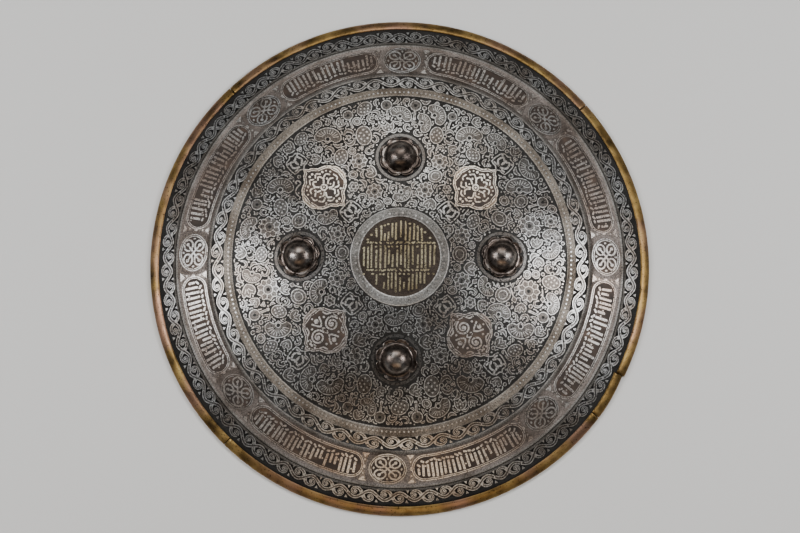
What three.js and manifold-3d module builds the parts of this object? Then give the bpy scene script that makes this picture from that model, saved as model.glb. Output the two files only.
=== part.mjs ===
// A round dished steel shield with a brass-bound rim, four lobed bosses and engraved bands.
// Millimetres, +Z up. The shield lies dome up on its rim: the origin is on the ground plane,
// under the middle of the dome. Azimuths are in degrees, anticlockwise from +X.
import * as THREE from 'three';
import { mergeVertices } from 'three/addons/utils/BufferGeometryUtils.js';
import Module from 'manifold-3d';

const wasm = await Module();
wasm.setup();

// ---------------------------------------------------------------- driving dimensions
const DOME_SPHERE = 456;          // radius of the sphere that the plate's outer face belongs to
const PLATE_RADIUS = 228.4;       // plan radius of the bare plate, inside its binding
const PLATE_THICKNESS = 1.8;
const FACETS = 56;                // flats round the dome; a multiple of four puts corners on the axes
const GAP = 0.3;                  // between pieces that touch

// Sunk zones, from the rim inwards: plan radii, and how far the ground lies under the face.
const OUTER_SCROLL = { outer: 219, inner: 207, depth: 0.5 };
const INNER_SCROLL = { outer: 172, inner: 160, depth: 0.5 };
const MEDALLION = { outer: 35.7, inner: 0, depth: 0.6 };
const FIELD_RINGS = [152, 114, 75];   // plain rings of corners that keep the dome round
const BACK_RINGS = [219, 178, 136, 92, 46];   // the same on the hollow side

// On the panel band: sunk ovals with a knot, and long sunk cartouches with round ends between them.
const BAND_MIDDLE = 188.7;
const OVAL_AZIMUTHS = [1.6, 45, 89.3, 131.5, 177.2, 218.8, 266.7, 313];
const OVAL = { halfLength: 16.4, halfWidth: 11.6, floor: -0.6, heart: 8 };
const CARTOUCHE = { halfWidth: 10.2, clearance: 5.2, floor: -0.6 };
const STROKES = { count: 4, width: 3, tall: 7.4, short: 3.6 };
const MARK_ROOT = -1.2;           // how deep raised marks are rooted in the plate

// Pointed lozenges on the four diagonals of the field, each with a leaf at its two ends.
const LOZENGE_AZIMUTHS = [43, 136.7, 224.6, 312];
const LOZENGE = { radius: 94, halfLength: 26, halfWidth: 20.5, floor: -0.6, heart: 9 };

// Bosses: a dome in one with an eight-lobed flange, and a shank clenched behind the plate.
// Each was set by hand: its place, and the turn of its lobes.
const BOSSES = {
  boss_east: { radius: 92, azimuth: 0.6, turn: 7 },
  boss_north: { radius: 92, azimuth: 89.6, turn: 2 },
  boss_west: { radius: 90.5, azimuth: 179.2, turn: -11 },
  boss_south: { radius: 92.5, azimuth: 268.2, turn: 4 },
};
const BOSS = {
  domeRadius: 14.2, domeHeight: 14.2, wall: 1.2, flangeRadius: 18.6, flangeThickness: 1.2,
  lobes: 8, lobeReach: 1.0, shankRadius: 3, headRadius: 6.5, headHeight: 1.8,
};

// Binding: brass channel folded round the edge, in lengths that meet at these azimuths.
const BINDING = {
  rim_binding_east: [333.4, 401],
  rim_binding_north: [41, 133.5],
  rim_binding_west: [133.5, 225.8],
  rim_binding_south: [225.8, 322.3],
  rim_binding_repair: [322.3, 333.4],
};
const JOINT_OPENING = 0.16;       // degrees between two lengths: 0.6 mm at the rim
const REPAIR_INSET = 2.2;         // how far the loose end of the repair sits inwards
const UPPER_LEG = 8;              // length of the channel's legs on the plate
const LOWER_LEG = 6.5;
const FOOT_HALF_WIDTH = 0.9;      // the fold is worn flat underneath, where the shield rests
const SEAT = 0.6;                 // the bosses' flanges are flat, the dome isn't: room under them

// ---------------------------------------------------------------- materials
const steel = new THREE.MeshStandardMaterial({ color: 0x6c6a66, roughness: 0.45, metalness: 0.9 });
const bossSteel = new THREE.MeshStandardMaterial({ color: 0x4a443f, roughness: 0.25, metalness: 0.95 });
const brass = new THREE.MeshStandardMaterial({ color: 0xa88a52, roughness: 0.4, metalness: 0.9 });

// ---------------------------------------------------------------- solids from geometry
// A closed geometry as a solid that can be joined and cut.
function solidFrom(geometry) {
  const bare = geometry.clone();
  bare.deleteAttribute('normal');
  bare.deleteAttribute('uv');
  const merged = mergeVertices(bare, 1e-4);
  const corners = merged.index.array;
  const triangles = [];
  for (let i = 0; i < corners.length; i += 3) {
    const [a, b, c] = corners.slice(i, i + 3);
    if (a !== b && b !== c && c !== a) triangles.push(a, b, c);
  }
  return new wasm.Manifold(new wasm.Mesh({
    numProp: 3,
    vertProperties: merged.attributes.position.array,
    triVerts: Uint32Array.from(triangles),
  }));
}

function meshOf(name, solid, material) {
  const { vertProperties, triVerts } = solid.getMesh();
  const geometry = new THREE.BufferGeometry();
  geometry.setAttribute('position', new THREE.BufferAttribute(vertProperties, 3));
  geometry.setIndex(new THREE.BufferAttribute(triVerts, 1));
  geometry.computeVertexNormals();
  const mesh = new THREE.Mesh(geometry, material);
  mesh.name = name;
  return mesh;
}

// Moves every corner of a geometry by a rule that takes and gives a Vector3.
function reshape(geometry, rule) {
  const position = geometry.attributes.position;
  const corner = new THREE.Vector3();
  for (let i = 0; i < position.count; i += 1) {
    const moved = rule(corner.fromBufferAttribute(position, i));
    position.setXYZ(i, moved.x, moved.y, moved.z);
  }
  return geometry;
}

// ---------------------------------------------------------------- the dome as a surface
const radians = THREE.MathUtils.degToRad;
const FACET_ANGLE = 360 / FACETS;
const slopeAt = (radius) => Math.asin(radius / DOME_SPHERE);
const edgeSlope = slopeAt(PLATE_RADIUS);

// The fold of the channel touches the ground here: x out along the slope, y out of the plate's face.
const footCentre = new THREE.Vector2(0.8, -PLATE_THICKNESS - 0.9);
const edgeHeight = footCentre.x * Math.sin(edgeSlope) - footCentre.y * Math.cos(edgeSlope);
const sphereCentre = edgeHeight - DOME_SPHERE * Math.cos(edgeSlope);
const sphereHeight = (radius) => sphereCentre + Math.sqrt(DOME_SPHERE ** 2 - radius ** 2);

const FACE_RINGS = [
  PLATE_RADIUS, OUTER_SCROLL.outer, OUTER_SCROLL.inner, INNER_SCROLL.outer, INNER_SCROLL.inner,
  ...FIELD_RINGS, MEDALLION.outer, 0,
];

// Height of the outer face at a plan radius: straight between two rings of corners.
function faceHeight(radius) {
  const k = Math.max(1, FACE_RINGS.findIndex((ring) => ring <= radius));
  const [outer, inner] = [FACE_RINGS[k - 1], FACE_RINGS[k]];
  return THREE.MathUtils.mapLinear(radius, inner, outer, sphereHeight(inner), sphereHeight(outer));
}

// How much nearer the axis a flat lies at an azimuth than its corners do.
function flatness(azimuth) {
  const fromMiddle = THREE.MathUtils.euclideanModulo(azimuth, FACET_ANGLE) - FACET_ANGLE / 2;
  return Math.cos(radians(FACET_ANGLE / 2)) / Math.cos(radians(fromMiddle));
}

// The point of a section (plan radius, height over the ground) turned to an azimuth.
function turned(radius, height, azimuth) {
  const reach = radius * flatness(azimuth);
  return new THREE.Vector3(reach * Math.cos(radians(azimuth)), reach * Math.sin(radians(azimuth)), height);
}

// A point by its plan radius and azimuth on the outer face, lifted out of it.
function onFace(radius, azimuth, lift) {
  const slope = slopeAt(radius);
  return turned(radius + lift * Math.sin(slope), faceHeight(radius) + lift * Math.cos(slope), azimuth);
}

// ---------------------------------------------------------------- blocks that follow the dome
// A block centred at a plan radius and azimuth, between two lifts from the face. It runs round the
// dome for halfLength each way, and halfWidth(t) is its half width at t from -1 to 1 along it. Its
// steps are closer together towards its ends, where it narrows.
function ringBlock({ radius, azimuth, halfLength, halfWidth, floor, top, steps }) {
  const bar = new THREE.BoxGeometry(2, 1, 2, 1, 1, steps).translate(0, 0.5, 0);
  return solidFrom(reshape(bar, ({ x, y, z }) => {
    const t = -Math.sin(z * Math.PI / 2);
    const along = THREE.MathUtils.radToDeg(t * halfLength / radius);
    return onFace(radius + x * halfWidth(t), azimuth + along, THREE.MathUtils.lerp(floor, top, y));
  }));
}

// A straight bar on the face, from one point to another, given as [across, along] from a centre.
function bar({ radius, azimuth, from, to, width, floor, top }) {
  const way = new THREE.Vector2(to[0] - from[0], to[1] - from[1]);
  const side = new THREE.Vector2(-way.y, way.x).setLength(width / 2);
  const box = new THREE.BoxGeometry(1, 1, 1).translate(0.5, 0.5, 0.5);
  return solidFrom(reshape(box, ({ x, y, z }) => {
    const across = from[0] + way.x * x + side.x * (2 * y - 1);
    const along = from[1] + way.y * x + side.y * (2 * y - 1);
    const lift = THREE.MathUtils.lerp(floor, top, z);
    return onFace(radius + across, azimuth + THREE.MathUtils.radToDeg(along / radius), lift);
  }));
}

// Outlines along a block: a stadium, an oval and an ogee that comes to a point.
const stadium = (half, length) => (t) => {
  const intoEnd = Math.max(0, Math.abs(t) * length - (length - half)) / half;
  return half * Math.sqrt(Math.max(0.02, 1 - intoEnd ** 2));
};
const oval = (half) => (t) => half * Math.sqrt(Math.max(0.03, 1 - t ** 2));
const ogee = (half) => (t) => half * Math.max(0.05, 0.5 + 0.5 * Math.cos(Math.PI * Math.abs(t) ** 0.85));

// ---------------------------------------------------------------- the plate
function lathe(profile, segments) {
  const points = profile.map(([radius, height]) => new THREE.Vector2(radius, height));
  return solidFrom(new THREE.LatheGeometry(points, segments).rotateX(Math.PI / 2));
}

function plateBlank() {
  const lifted = (radius, lift) => {
    const slope = slopeAt(radius);
    return [Math.max(0, radius + lift * Math.sin(slope)), sphereHeight(radius) + lift * Math.cos(slope)];
  };
  const sunk = [OUTER_SCROLL, INNER_SCROLL, MEDALLION];
  const face = FACE_RINGS.flatMap((ring) => {
    const outerOf = sunk.find((zone) => zone.outer === ring);
    const innerOf = sunk.find((zone) => zone.inner === ring && ring > 0);
    if (outerOf) return [lifted(ring, 0), lifted(ring, -outerOf.depth)];
    if (innerOf) return [lifted(ring, -innerOf.depth), lifted(ring, 0)];
    return [lifted(ring, ring > 0 ? 0 : -MEDALLION.depth)];
  });
  const back = [0, ...[...BACK_RINGS].reverse(), PLATE_RADIUS].map((ring) => lifted(ring, -PLATE_THICKNESS));
  return lathe([...back, ...face], FACETS);
}

// Upright strokes in a row, tall and short by turns.
function strokes(azimuth, halfLength) {
  const pitch = 2 * halfLength / (STROKES.count + 1);
  return Array.from({ length: STROKES.count }, (_, i) => {
    const along = (i - (STROKES.count - 1) / 2) * pitch;
    const reach = i % 2 === 1 ? STROKES.short : STROKES.tall;
    return bar({
      radius: BAND_MIDDLE, azimuth, from: [-STROKES.tall, along], to: [reach, along],
      width: STROKES.width, floor: MARK_ROOT, top: 0,
    });
  });
}

// A pointed block standing in the middle of a hollow.
function heart(place, size) {
  const outline = { halfLength: size, halfWidth: ogee(size), steps: 4 };
  return ringBlock({ ...place, ...outline, floor: MARK_ROOT, top: 0 });
}

// Each panel is a hollow sunk in the face, and the marks that stand in it.
function ovalPanels() {
  return OVAL_AZIMUTHS.map((azimuth) => {
    const place = { radius: BAND_MIDDLE, azimuth };
    return {
      hollow: ringBlock({ ...place, ...OVAL, halfWidth: oval(OVAL.halfWidth), top: 1, steps: 6 }),
      marks: [heart(place, OVAL.heart)],
    };
  });
}

function cartouches() {
  const ovalHalfAngle = THREE.MathUtils.radToDeg((OVAL.halfLength + CARTOUCHE.clearance) / BAND_MIDDLE);
  return OVAL_AZIMUTHS.map((start, i) => {
    const end = OVAL_AZIMUTHS[i + 1] ?? OVAL_AZIMUTHS[0] + 360;
    const azimuth = (start + end) / 2;
    const halfLength = radians((end - start) / 2 - ovalHalfAngle) * BAND_MIDDLE;
    const halfWidth = stadium(CARTOUCHE.halfWidth, halfLength);
    const { floor } = CARTOUCHE;
    return {
      hollow: ringBlock({ radius: BAND_MIDDLE, azimuth, halfLength, halfWidth, floor, top: 1, steps: 6 }),
      marks: strokes(azimuth, halfLength),
    };
  });
}

function lozenges() {
  return LOZENGE_AZIMUTHS.map((azimuth) => {
    const place = { ...LOZENGE, azimuth };
    return {
      hollow: ringBlock({ ...place, halfWidth: ogee(LOZENGE.halfWidth), top: 1, steps: 6 }),
      marks: [heart(place, LOZENGE.heart)],
    };
  });
}

// Abstract upright strokes on the medallion's floor, longer towards its middle.
function medallionStrokes() {
  const pitch = 13;
  const reach = MEDALLION.outer - 8;
  return [-1, 0, 1].map((place) => {
    const x = place * pitch;
    const half = Math.sqrt(reach ** 2 - x ** 2);
    const stroke = new THREE.BoxGeometry(STROKES.width, 2 * half, 1, 1, 2, 1).translate(x, 0, 0);
    return solidFrom(reshape(stroke, (corner) => {
      const lift = corner.z > 0 ? 0 : MARK_ROOT;
      return corner.setZ(faceHeight(Math.hypot(corner.x, corner.y)) + lift);
    }));
  });
}

// ---------------------------------------------------------------- the rim
// The channel's section, round the plate's edge: x out along the slope, y out of the face.
const radialWay = new THREE.Vector2(Math.cos(edgeSlope), Math.sin(edgeSlope));
const foot = [-1, 1].map((side) => footCentre.clone().addScaledVector(radialWay, side * FOOT_HALF_WIDTH));
const underPlate = -PLATE_THICKNESS - GAP;
const CHANNEL_SECTION = [
  [-UPPER_LEG, GAP], [GAP, GAP], [GAP, underPlate], [-LOWER_LEG, underPlate],
  [-LOWER_LEG, underPlate - 0.8], [foot[0].x, foot[0].y], [foot[1].x, foot[1].y],
  [2.1, -0.9], [1.3, 0.8], [-3, 1.7], [-UPPER_LEG, 0.9],
];

// How far the repair has slipped inwards at an azimuth.
function repairInset(azimuth) {
  const [start, end] = BINDING.rim_binding_repair;
  return REPAIR_INSET * THREE.MathUtils.clamp((azimuth - start) / (end - start), 0, 1) ** 2;
}

// A section swept round the edge between two azimuths, with a station at each corner of the dome.
function edgeSweep(section, start, end, inset) {
  const stations = [start];
  for (let k = Math.ceil(start / FACET_ANGLE + 0.01); k * FACET_ANGLE < end - 0.05; k += 1) {
    stations.push(k * FACET_ANGLE);
  }
  stations.push(end);
  const last = stations.length - 1;
  const shape = new THREE.Shape(section.map(([x, y]) => new THREE.Vector2(x, y)));
  const straight = new THREE.ExtrudeGeometry(shape, { depth: last, steps: last, bevelEnabled: false });
  return solidFrom(reshape(straight, ({ x, y, z }) => {
    const azimuth = stations[last - Math.round(z)];
    const out = x - inset(azimuth);
    const radius = PLATE_RADIUS + out * Math.cos(edgeSlope) + y * Math.sin(edgeSlope);
    const height = edgeHeight - out * Math.sin(edgeSlope) + y * Math.cos(edgeSlope);
    return turned(radius, height, azimuth);
  }));
}

// What the slipped repair has bent away from the plate's edge.
function repairNotch() {
  const [start, end] = BINDING.rim_binding_repair;
  const beyond = 12;
  const outside = [[0, -beyond], [beyond, -beyond], [beyond, beyond], [0, beyond]];
  return edgeSweep(outside, start, end + JOINT_OPENING / 2, repairInset);
}

function bindingLength(name) {
  const [start, end] = BINDING[name];
  const inset = name === 'rim_binding_repair' ? repairInset : () => 0;
  const open = JOINT_OPENING / 2;
  return meshOf(name, edgeSweep(CHANNEL_SECTION, start + open, end - open, inset), brass);
}

// ---------------------------------------------------------------- the bosses
// A frame standing on the outer face at a boss's place, with +Z out of the plate.
function bossPlace({ radius, azimuth }) {
  const place = new THREE.Object3D();
  place.position.copy(onFace(radius, azimuth, 0));
  place.rotation.set(0, slopeAt(radius), radians(azimuth), 'ZYX');
  place.updateMatrix();
  return place.matrix;
}

function bossSolid() {
  const { domeRadius, wall, flangeRadius, shankRadius, headRadius, headHeight, lobes, lobeReach } = BOSS;
  const top = SEAT + BOSS.flangeThickness;
  const rise = BOSS.domeHeight - BOSS.flangeThickness;
  const arc = (reach, height, turns) => turns.map((turn) => (
    [reach * Math.cos(radians(turn)), top + height * Math.sin(radians(turn))]));
  const under = -PLATE_THICKNESS - SEAT;
  const profile = [
    [0, under - headHeight], [headRadius, under], [shankRadius, under],
    ...arc(domeRadius - wall, rise - wall, [76, 40]),
    [domeRadius - wall, SEAT], [flangeRadius, SEAT], [flangeRadius, top - 0.3],
    ...arc(domeRadius, rise, [0, 32, 62, 90]),
  ];
  const turnedBoss = new THREE.LatheGeometry(profile.map(([x, y]) => new THREE.Vector2(x, y)), lobes * 3);
  return reshape(turnedBoss.rotateX(Math.PI / 2), (corner) => {
    const radius = Math.hypot(corner.x, corner.y);
    if (radius < flangeRadius - 0.1) return corner;
    const bulge = Math.abs(Math.sin(Math.atan2(corner.y, corner.x) * lobes / 2));
    const lobed = 1 + lobeReach * (2 * bulge - 1) / radius;
    return corner.set(corner.x * lobed, corner.y * lobed, corner.z);
  });
}

function bossMesh(name) {
  const boss = bossSolid().rotateZ(radians(BOSSES[name].turn));
  return meshOf(name, solidFrom(boss.applyMatrix4(bossPlace(BOSSES[name]))), bossSteel);
}

function shankHole(name) {
  const radius = BOSS.shankRadius + 2 * GAP;
  const round = new THREE.CylinderGeometry(radius, radius, 4 * PLATE_THICKNESS, 10);
  return solidFrom(round.rotateX(Math.PI / 2).applyMatrix4(bossPlace(BOSSES[name])));
}

// ---------------------------------------------------------------- the shield
function bowl() {
  const panels = [...ovalPanels(), ...cartouches(), ...lozenges()];
  const holes = Object.keys(BOSSES).map(shankHole);
  const hollows = [...panels.map(({ hollow }) => hollow), ...holes, repairNotch()];
  const marks = [...panels.flatMap((panel) => panel.marks), ...medallionStrokes()];
  const cut = hollows.reduce((plate, tool) => plate.subtract(tool), plateBlank());
  return meshOf('bowl', marks.reduce((plate, mark) => plate.add(mark), cut), steel);
}

const shield = new THREE.Group();
shield.add(bowl());
shield.add(...Object.keys(BOSSES).map(bossMesh));
shield.add(...Object.keys(BINDING).map(bindingLength));

export default shield;
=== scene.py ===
# %% [markdown]
# # A round parade shield
# The real thing is a dished steel plate, etched all over with flowers and bands, with four domed
# bosses riveted on and a folded brass channel round its edge. This notebook builds it around a fixed
# frame of solids, piece by piece. Everything is in metres, and the shield lies dome up on a floor.

# %% Load the frame
import math
import random

import bpy
import numpy as np
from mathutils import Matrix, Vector
from mathutils.geometry import delaunay_2d_cdt


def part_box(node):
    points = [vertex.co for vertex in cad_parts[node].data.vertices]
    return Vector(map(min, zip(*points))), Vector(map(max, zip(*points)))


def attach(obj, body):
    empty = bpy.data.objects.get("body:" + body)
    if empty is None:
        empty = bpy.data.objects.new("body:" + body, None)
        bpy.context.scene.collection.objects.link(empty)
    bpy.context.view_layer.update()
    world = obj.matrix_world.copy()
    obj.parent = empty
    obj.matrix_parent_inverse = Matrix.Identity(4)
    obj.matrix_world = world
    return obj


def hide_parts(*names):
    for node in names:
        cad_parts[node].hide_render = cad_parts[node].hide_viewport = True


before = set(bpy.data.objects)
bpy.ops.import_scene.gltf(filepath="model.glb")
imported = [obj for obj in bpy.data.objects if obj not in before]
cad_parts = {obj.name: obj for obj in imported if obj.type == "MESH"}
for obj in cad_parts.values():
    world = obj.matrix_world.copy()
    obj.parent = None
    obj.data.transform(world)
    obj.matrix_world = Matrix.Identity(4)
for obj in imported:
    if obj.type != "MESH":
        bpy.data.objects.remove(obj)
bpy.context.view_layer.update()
MM = 0.001
print("frame", sorted(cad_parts))

# %% [markdown]
# ## The dome as a rule
# The plate was raised over a stake, so its face is part of a ball. The frame gives the plate's radius
# and the height of its crown. Every later piece is drawn flat, as a distance from the middle and an
# angle round it, and one function then lays it on the dome with a small lift.

# %% The dome's own numbers
plate_low, plate_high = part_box("bowl")
PLATE_RADIUS = (plate_high.x - plate_low.x) / 2 / MM
CROWN = plate_high.z / MM
BALL = 456.0                      # millimetres: the ball that the face belongs to
THICKNESS = 1.8                   # of the steel


def on_dome(radius, azimuth, lift=0.0):
    """Millimetres and radians to points in metres: a plan radius, an angle, a height out of the face."""
    radius, azimuth, lift = np.broadcast_arrays(radius, azimuth, lift)
    slope = np.arcsin(np.clip(radius / BALL, -1, 1))
    out = radius + lift * np.sin(slope)
    height = CROWN - BALL + (BALL + lift) * np.cos(slope)
    return np.stack([out * np.cos(azimuth), out * np.sin(azimuth), height], axis=-1) * MM


EDGE_HEIGHT = on_dome(PLATE_RADIUS, 0.0)[2] / MM
print(f"plate radius {PLATE_RADIUS:.1f} mm, crown {CROWN:.1f} mm, edge at {EDGE_HEIGHT:.2f} mm")

# %% [markdown]
# ## The camera
# The shield is seen from almost straight above, through a long lens from a little in front, so that a
# circle looks only one part in a hundred narrower than it is wide.

# %% Camera
ELEVATION = math.radians(82)
DISTANCE = 2.4
RIM_RADIUS = 0.230
RIM_SHARE = 0.3125                # the rim's radius, as a share of the picture's width
AIM = Vector((0.0003, -0.0012, 0.006))

camera_data = bpy.data.cameras.new("camera")
camera_data.sensor_width = 36
camera_data.lens = camera_data.sensor_width * RIM_SHARE * DISTANCE / RIM_RADIUS
camera_data.clip_end = 20
camera = bpy.data.objects.new("camera", camera_data)
camera.location = AIM + DISTANCE * Vector((0, -math.cos(ELEVATION), math.sin(ELEVATION)))
camera.rotation_euler = (AIM - camera.location).to_track_quat("-Z", "Y").to_euler()
bpy.context.scene.collection.objects.link(camera)
bpy.context.scene.camera = camera
print(f"lens {camera_data.lens:.0f} mm, {DISTANCE} m away")

# %% [markdown]
# ## Light and floor
# Polished steel shows what is round it. Two soft boxes stand left and right of the dome, so each throws
# a gleam on its shoulder. A wide one high behind lights the field and the far rim, and a weaker, warm
# one in front fills the near side. The floor is plain and pale. Colours are written as on a paint
# chart, in sRGB, and one function turns them to the linear values that lights and shaders take.

# %% Lights
def hex_to_linear(code):
    """An sRGB colour such as "#8c7a55" as the linear RGBA that a shader takes."""
    channels = [int(code[i:i + 2], 16) / 255 for i in (1, 3, 5)]
    return [c / 12.92 if c <= 0.04045 else ((c + 0.055) / 1.055) ** 2.4 for c in channels] + [1.0]


def soft_box(name, azimuth, elevation, distance, size, power, tint):
    """A glowing board that faces the middle: its place in degrees and metres, its size, its watts."""
    light = bpy.data.lights.new(name, "AREA")
    light.shape = "RECTANGLE"
    light.size, light.size_y = size
    light.energy = power
    light.color = hex_to_linear(tint)[:3]
    lamp = bpy.data.objects.new(name, light)
    a, e = math.radians(azimuth), math.radians(elevation)
    away = Vector((math.cos(e) * math.cos(a), math.cos(e) * math.sin(a), math.sin(e)))
    lamp.location = distance * away
    lamp.rotation_euler = (-lamp.location).to_track_quat("-Z", "Y").to_euler()
    bpy.context.scene.collection.objects.link(lamp)


soft_box("box_left", 177, 46, 1.7, (0.3, 0.7), 17, "#f6f9ff")
soft_box("box_right", 3, 46, 1.7, (0.3, 0.7), 20, "#f6f9ff")
soft_box("box_top", 90, 54, 2.2, (1.6, 0.9), 22, "#ffffff")
soft_box("box_front", 270, 44, 2.2, (1.6, 0.6), 9, "#ffe6c8")

world = bpy.data.worlds.new("studio")
world.use_nodes = True
world.node_tree.nodes["Background"].inputs["Color"].default_value = hex_to_linear("#aab0b8")
world.node_tree.nodes["Background"].inputs["Strength"].default_value = 0.30
bpy.context.scene.world = world

# %% [markdown]
# ## One function for every node
# Every finish is a small graph of shader nodes, and the ornament is set out by graphs of geometry nodes.
# A single function adds one node, sets it and links it, so a graph reads from top to bottom. Another
# starts an empty material, and a third turns arrays of points and faces into an object.

# %% Helpers
def node(tree, kind, links=None, stops=(), **settings):
    """Adds a node. links: socket to a value, a hex colour or another socket; stops: a ramp's colours."""
    made = tree.nodes.new(kind)
    for name, value in settings.items():
        setattr(made, name, value)
    for socket, value in (links or {}).items():
        if isinstance(value, bpy.types.NodeSocket):
            tree.links.new(value, made.inputs[socket])
        else:
            is_colour = str(value)[0] == "#"
            made.inputs[socket].default_value = hex_to_linear(value) if is_colour else value
    for i, (place, code) in enumerate(stops):
        elements = made.color_ramp.elements
        if i == 0:
            elements.remove(elements[1])
        element = elements.new(place) if i else elements[0]
        element.position = place
        element.color = hex_to_linear(code)
    return made


def new_material(name):
    material = bpy.data.materials.new(name)
    material.use_nodes = True
    material.node_tree.nodes.clear()
    return material, material.node_tree


def mesh_object(name, points, faces):
    mesh = bpy.data.meshes.new(name)
    mesh.from_pydata(np.asarray(points, float).tolist(), [], [tuple(map(int, f)) for f in faces])
    mesh.shade_smooth()
    made = bpy.data.objects.new(name, mesh)
    bpy.context.scene.collection.objects.link(made)
    return made


def finish_piece(piece, replaced=()):
    """Hands a piece to the frame: it rides the body and may stand for a solid."""
    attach(piece, "root")
    if replaced:
        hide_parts(*replaced)
    piece.data.calc_loop_triangles()
    print(piece.name, len(piece.data.loop_triangles), "triangles")


# Matt white paint on board: no gleam of its own, so it only carries the shield's soft shadow.
floor_paint, tree = new_material("matt_painted_board")
brush = node(tree, "ShaderNodeTexNoise", {"Scale": 1 / 0.4, "Detail": 2.0})
paint = node(tree, "ShaderNodeValToRGB", {"Fac": brush.outputs["Fac"]},
             [(0.3, "#cbc9c4"), (0.7, "#d1cfca")])
shader = node(tree, "ShaderNodeBsdfPrincipled", {"Base Color": paint.outputs[0], "Roughness": 0.9})
node(tree, "ShaderNodeOutputMaterial", {"Surface": shader.outputs[0]})
floor = mesh_object("floor", [(-4, -4, 0), (4, -4, 0), (4, 4, 0), (-4, 4, 0)], [(0, 1, 2, 3)])
floor.data.materials.append(floor_paint)
print("floor", floor.dimensions[:2], "m")

# %% [markdown]
# ## Finish: aged brass
# The rim's strip was rolled thin, hammered over the edge and handled for two centuries. Brass is a
# yellow metal, so its colour is in its reflection. Rubbed crowns are bright, dips are brown, and a
# pink blush shows where zinc has left the surface. The noise sizes are those of the hammer marks.

# %% Brass
def brass_finish():
    """Hammered brass: broken warm gleams that say thin metal worked by hand."""
    material, tree = new_material("aged_hammered_brass")
    where = node(tree, "ShaderNodeTexCoord").outputs["Object"]
    dents = node(tree, "ShaderNodeTexNoise", {"Vector": where, "Scale": 1 / (14 * MM), "Detail": 4.0})
    tone = node(tree, "ShaderNodeValToRGB", {"Fac": dents.outputs["Fac"]},
                [(0.30, "#4f3e26"), (0.5, "#7d6339"), (0.68, "#9a804d")])
    blush = node(tree, "ShaderNodeTexNoise", {"Vector": where, "Scale": 1 / (45 * MM), "Detail": 2.0})
    share = node(tree, "ShaderNodeValToRGB", {"Fac": blush.outputs["Fac"]},
                 [(0.45, "#000000"), (0.62, "#ffffff")])
    pink = node(tree, "ShaderNodeMix", {0: share.outputs[0], 6: tone.outputs[0], 7: "#8a6a54"},
                data_type="RGBA")
    pits = node(tree, "ShaderNodeTexNoise", {"Vector": where, "Scale": 1 / (1.6 * MM), "Detail": 2.0})
    specks = node(tree, "ShaderNodeValToRGB", {"Fac": pits.outputs["Fac"]},
                  [(0.30, "#3a2a1a"), (0.40, "#ffffff")])
    colour = node(tree, "ShaderNodeMix", {0: 0.8, 6: pink.outputs[2], 7: specks.outputs[0]},
                  data_type="RGBA", blend_type="MULTIPLY")
    rough = node(tree, "ShaderNodeMapRange", {"Value": dents.outputs["Fac"], "From Min": 0.35,
                                              "From Max": 0.7, "To Min": 0.36, "To Max": 0.52})
    hammer = node(tree, "ShaderNodeTexNoise", {"Vector": where, "Scale": 1 / (5 * MM), "Detail": 4.0})
    bump = node(tree, "ShaderNodeBump", {"Height": hammer.outputs["Fac"], "Distance": 0.3 * MM,
                                         "Strength": 0.6})
    shader = node(tree, "ShaderNodeBsdfPrincipled",
                  {"Base Color": colour.outputs[2], "Metallic": 1.0, "Roughness": rough.outputs[0],
                   "Normal": bump.outputs[0]})
    node(tree, "ShaderNodeOutputMaterial", {"Surface": shader.outputs[0]})
    return material


aged_brass = brass_finish()
print("material", aged_brass.name, len(aged_brass.node_tree.nodes), "nodes")

# %% [markdown]
# ## Finish: browned steel
# The bosses were filed, polished and then left to turn brown-black. The brown film is thin, so they
# still give small hard highlights, broken up by the filing.

# %% Browned steel
def boss_finish():
    """Polished steel under a brown-black film: dark, with sharp white points of light."""
    material, tree = new_material("browned_polished_steel")
    where = node(tree, "ShaderNodeTexCoord").outputs["Object"]
    film = node(tree, "ShaderNodeTexNoise", {"Vector": where, "Scale": 1 / (9 * MM), "Detail": 4.0})
    tone = node(tree, "ShaderNodeValToRGB", {"Fac": film.outputs["Fac"]},
                [(0.32, "#302a26"), (0.52, "#5a5049"), (0.7, "#8c857e")])
    wear = node(tree, "ShaderNodeTexNoise", {"Vector": where, "Scale": 1 / (3 * MM), "Detail": 3.0})
    rough = node(tree, "ShaderNodeMapRange", {"Value": wear.outputs["Fac"], "From Min": 0.35,
                                              "From Max": 0.7, "To Min": 0.24, "To Max": 0.42})
    bump = node(tree, "ShaderNodeBump", {"Height": wear.outputs["Fac"], "Distance": 0.08 * MM,
                                         "Strength": 0.5})
    shader = node(tree, "ShaderNodeBsdfPrincipled",
                  {"Base Color": tone.outputs[0], "Metallic": 1.0, "Roughness": rough.outputs[0],
                   "Normal": bump.outputs[0]})
    node(tree, "ShaderNodeOutputMaterial", {"Surface": shader.outputs[0]})
    return material


browned_steel = boss_finish()
print("material", browned_steel.name, len(browned_steel.node_tree.nodes), "nodes")

# %% [markdown]
# ## Finish: the etched ground
# Acid ate the ground of each zone, and lampblack was rubbed in, while the plain bands kept their grey.
# The zones are rings, so one colour ramp over the distance from the middle paints them all, with hard
# steps. Stains of about 30 mm and grit of about 1 mm lie over it.

# %% Etched ground
OUTER_SCROLL = (207.0, 219.0)     # plan radii in millimetres of each zone, inner and outer
PANEL_BAND = (174.5, 203.0)
INNER_SCROLL = (160.0, 172.0)
DOTTED_RING = (152.0, 160.0)
FIELD = (44.0, 152.0)
MEDALLION_RING = (35.7, 44.0)
MEDALLION = (0.0, 35.7)
LIP = 0.9                         # the bright line that edges each dotted ring
GROOVE = (204.6, 205.4)           # a fine dark line in the plain band outside the panels
PAINTED_RADIUS = PLATE_RADIUS + 5
PLAIN_STEEL = "#8f8a83"
BLACKED = "#3b3936"
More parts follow.
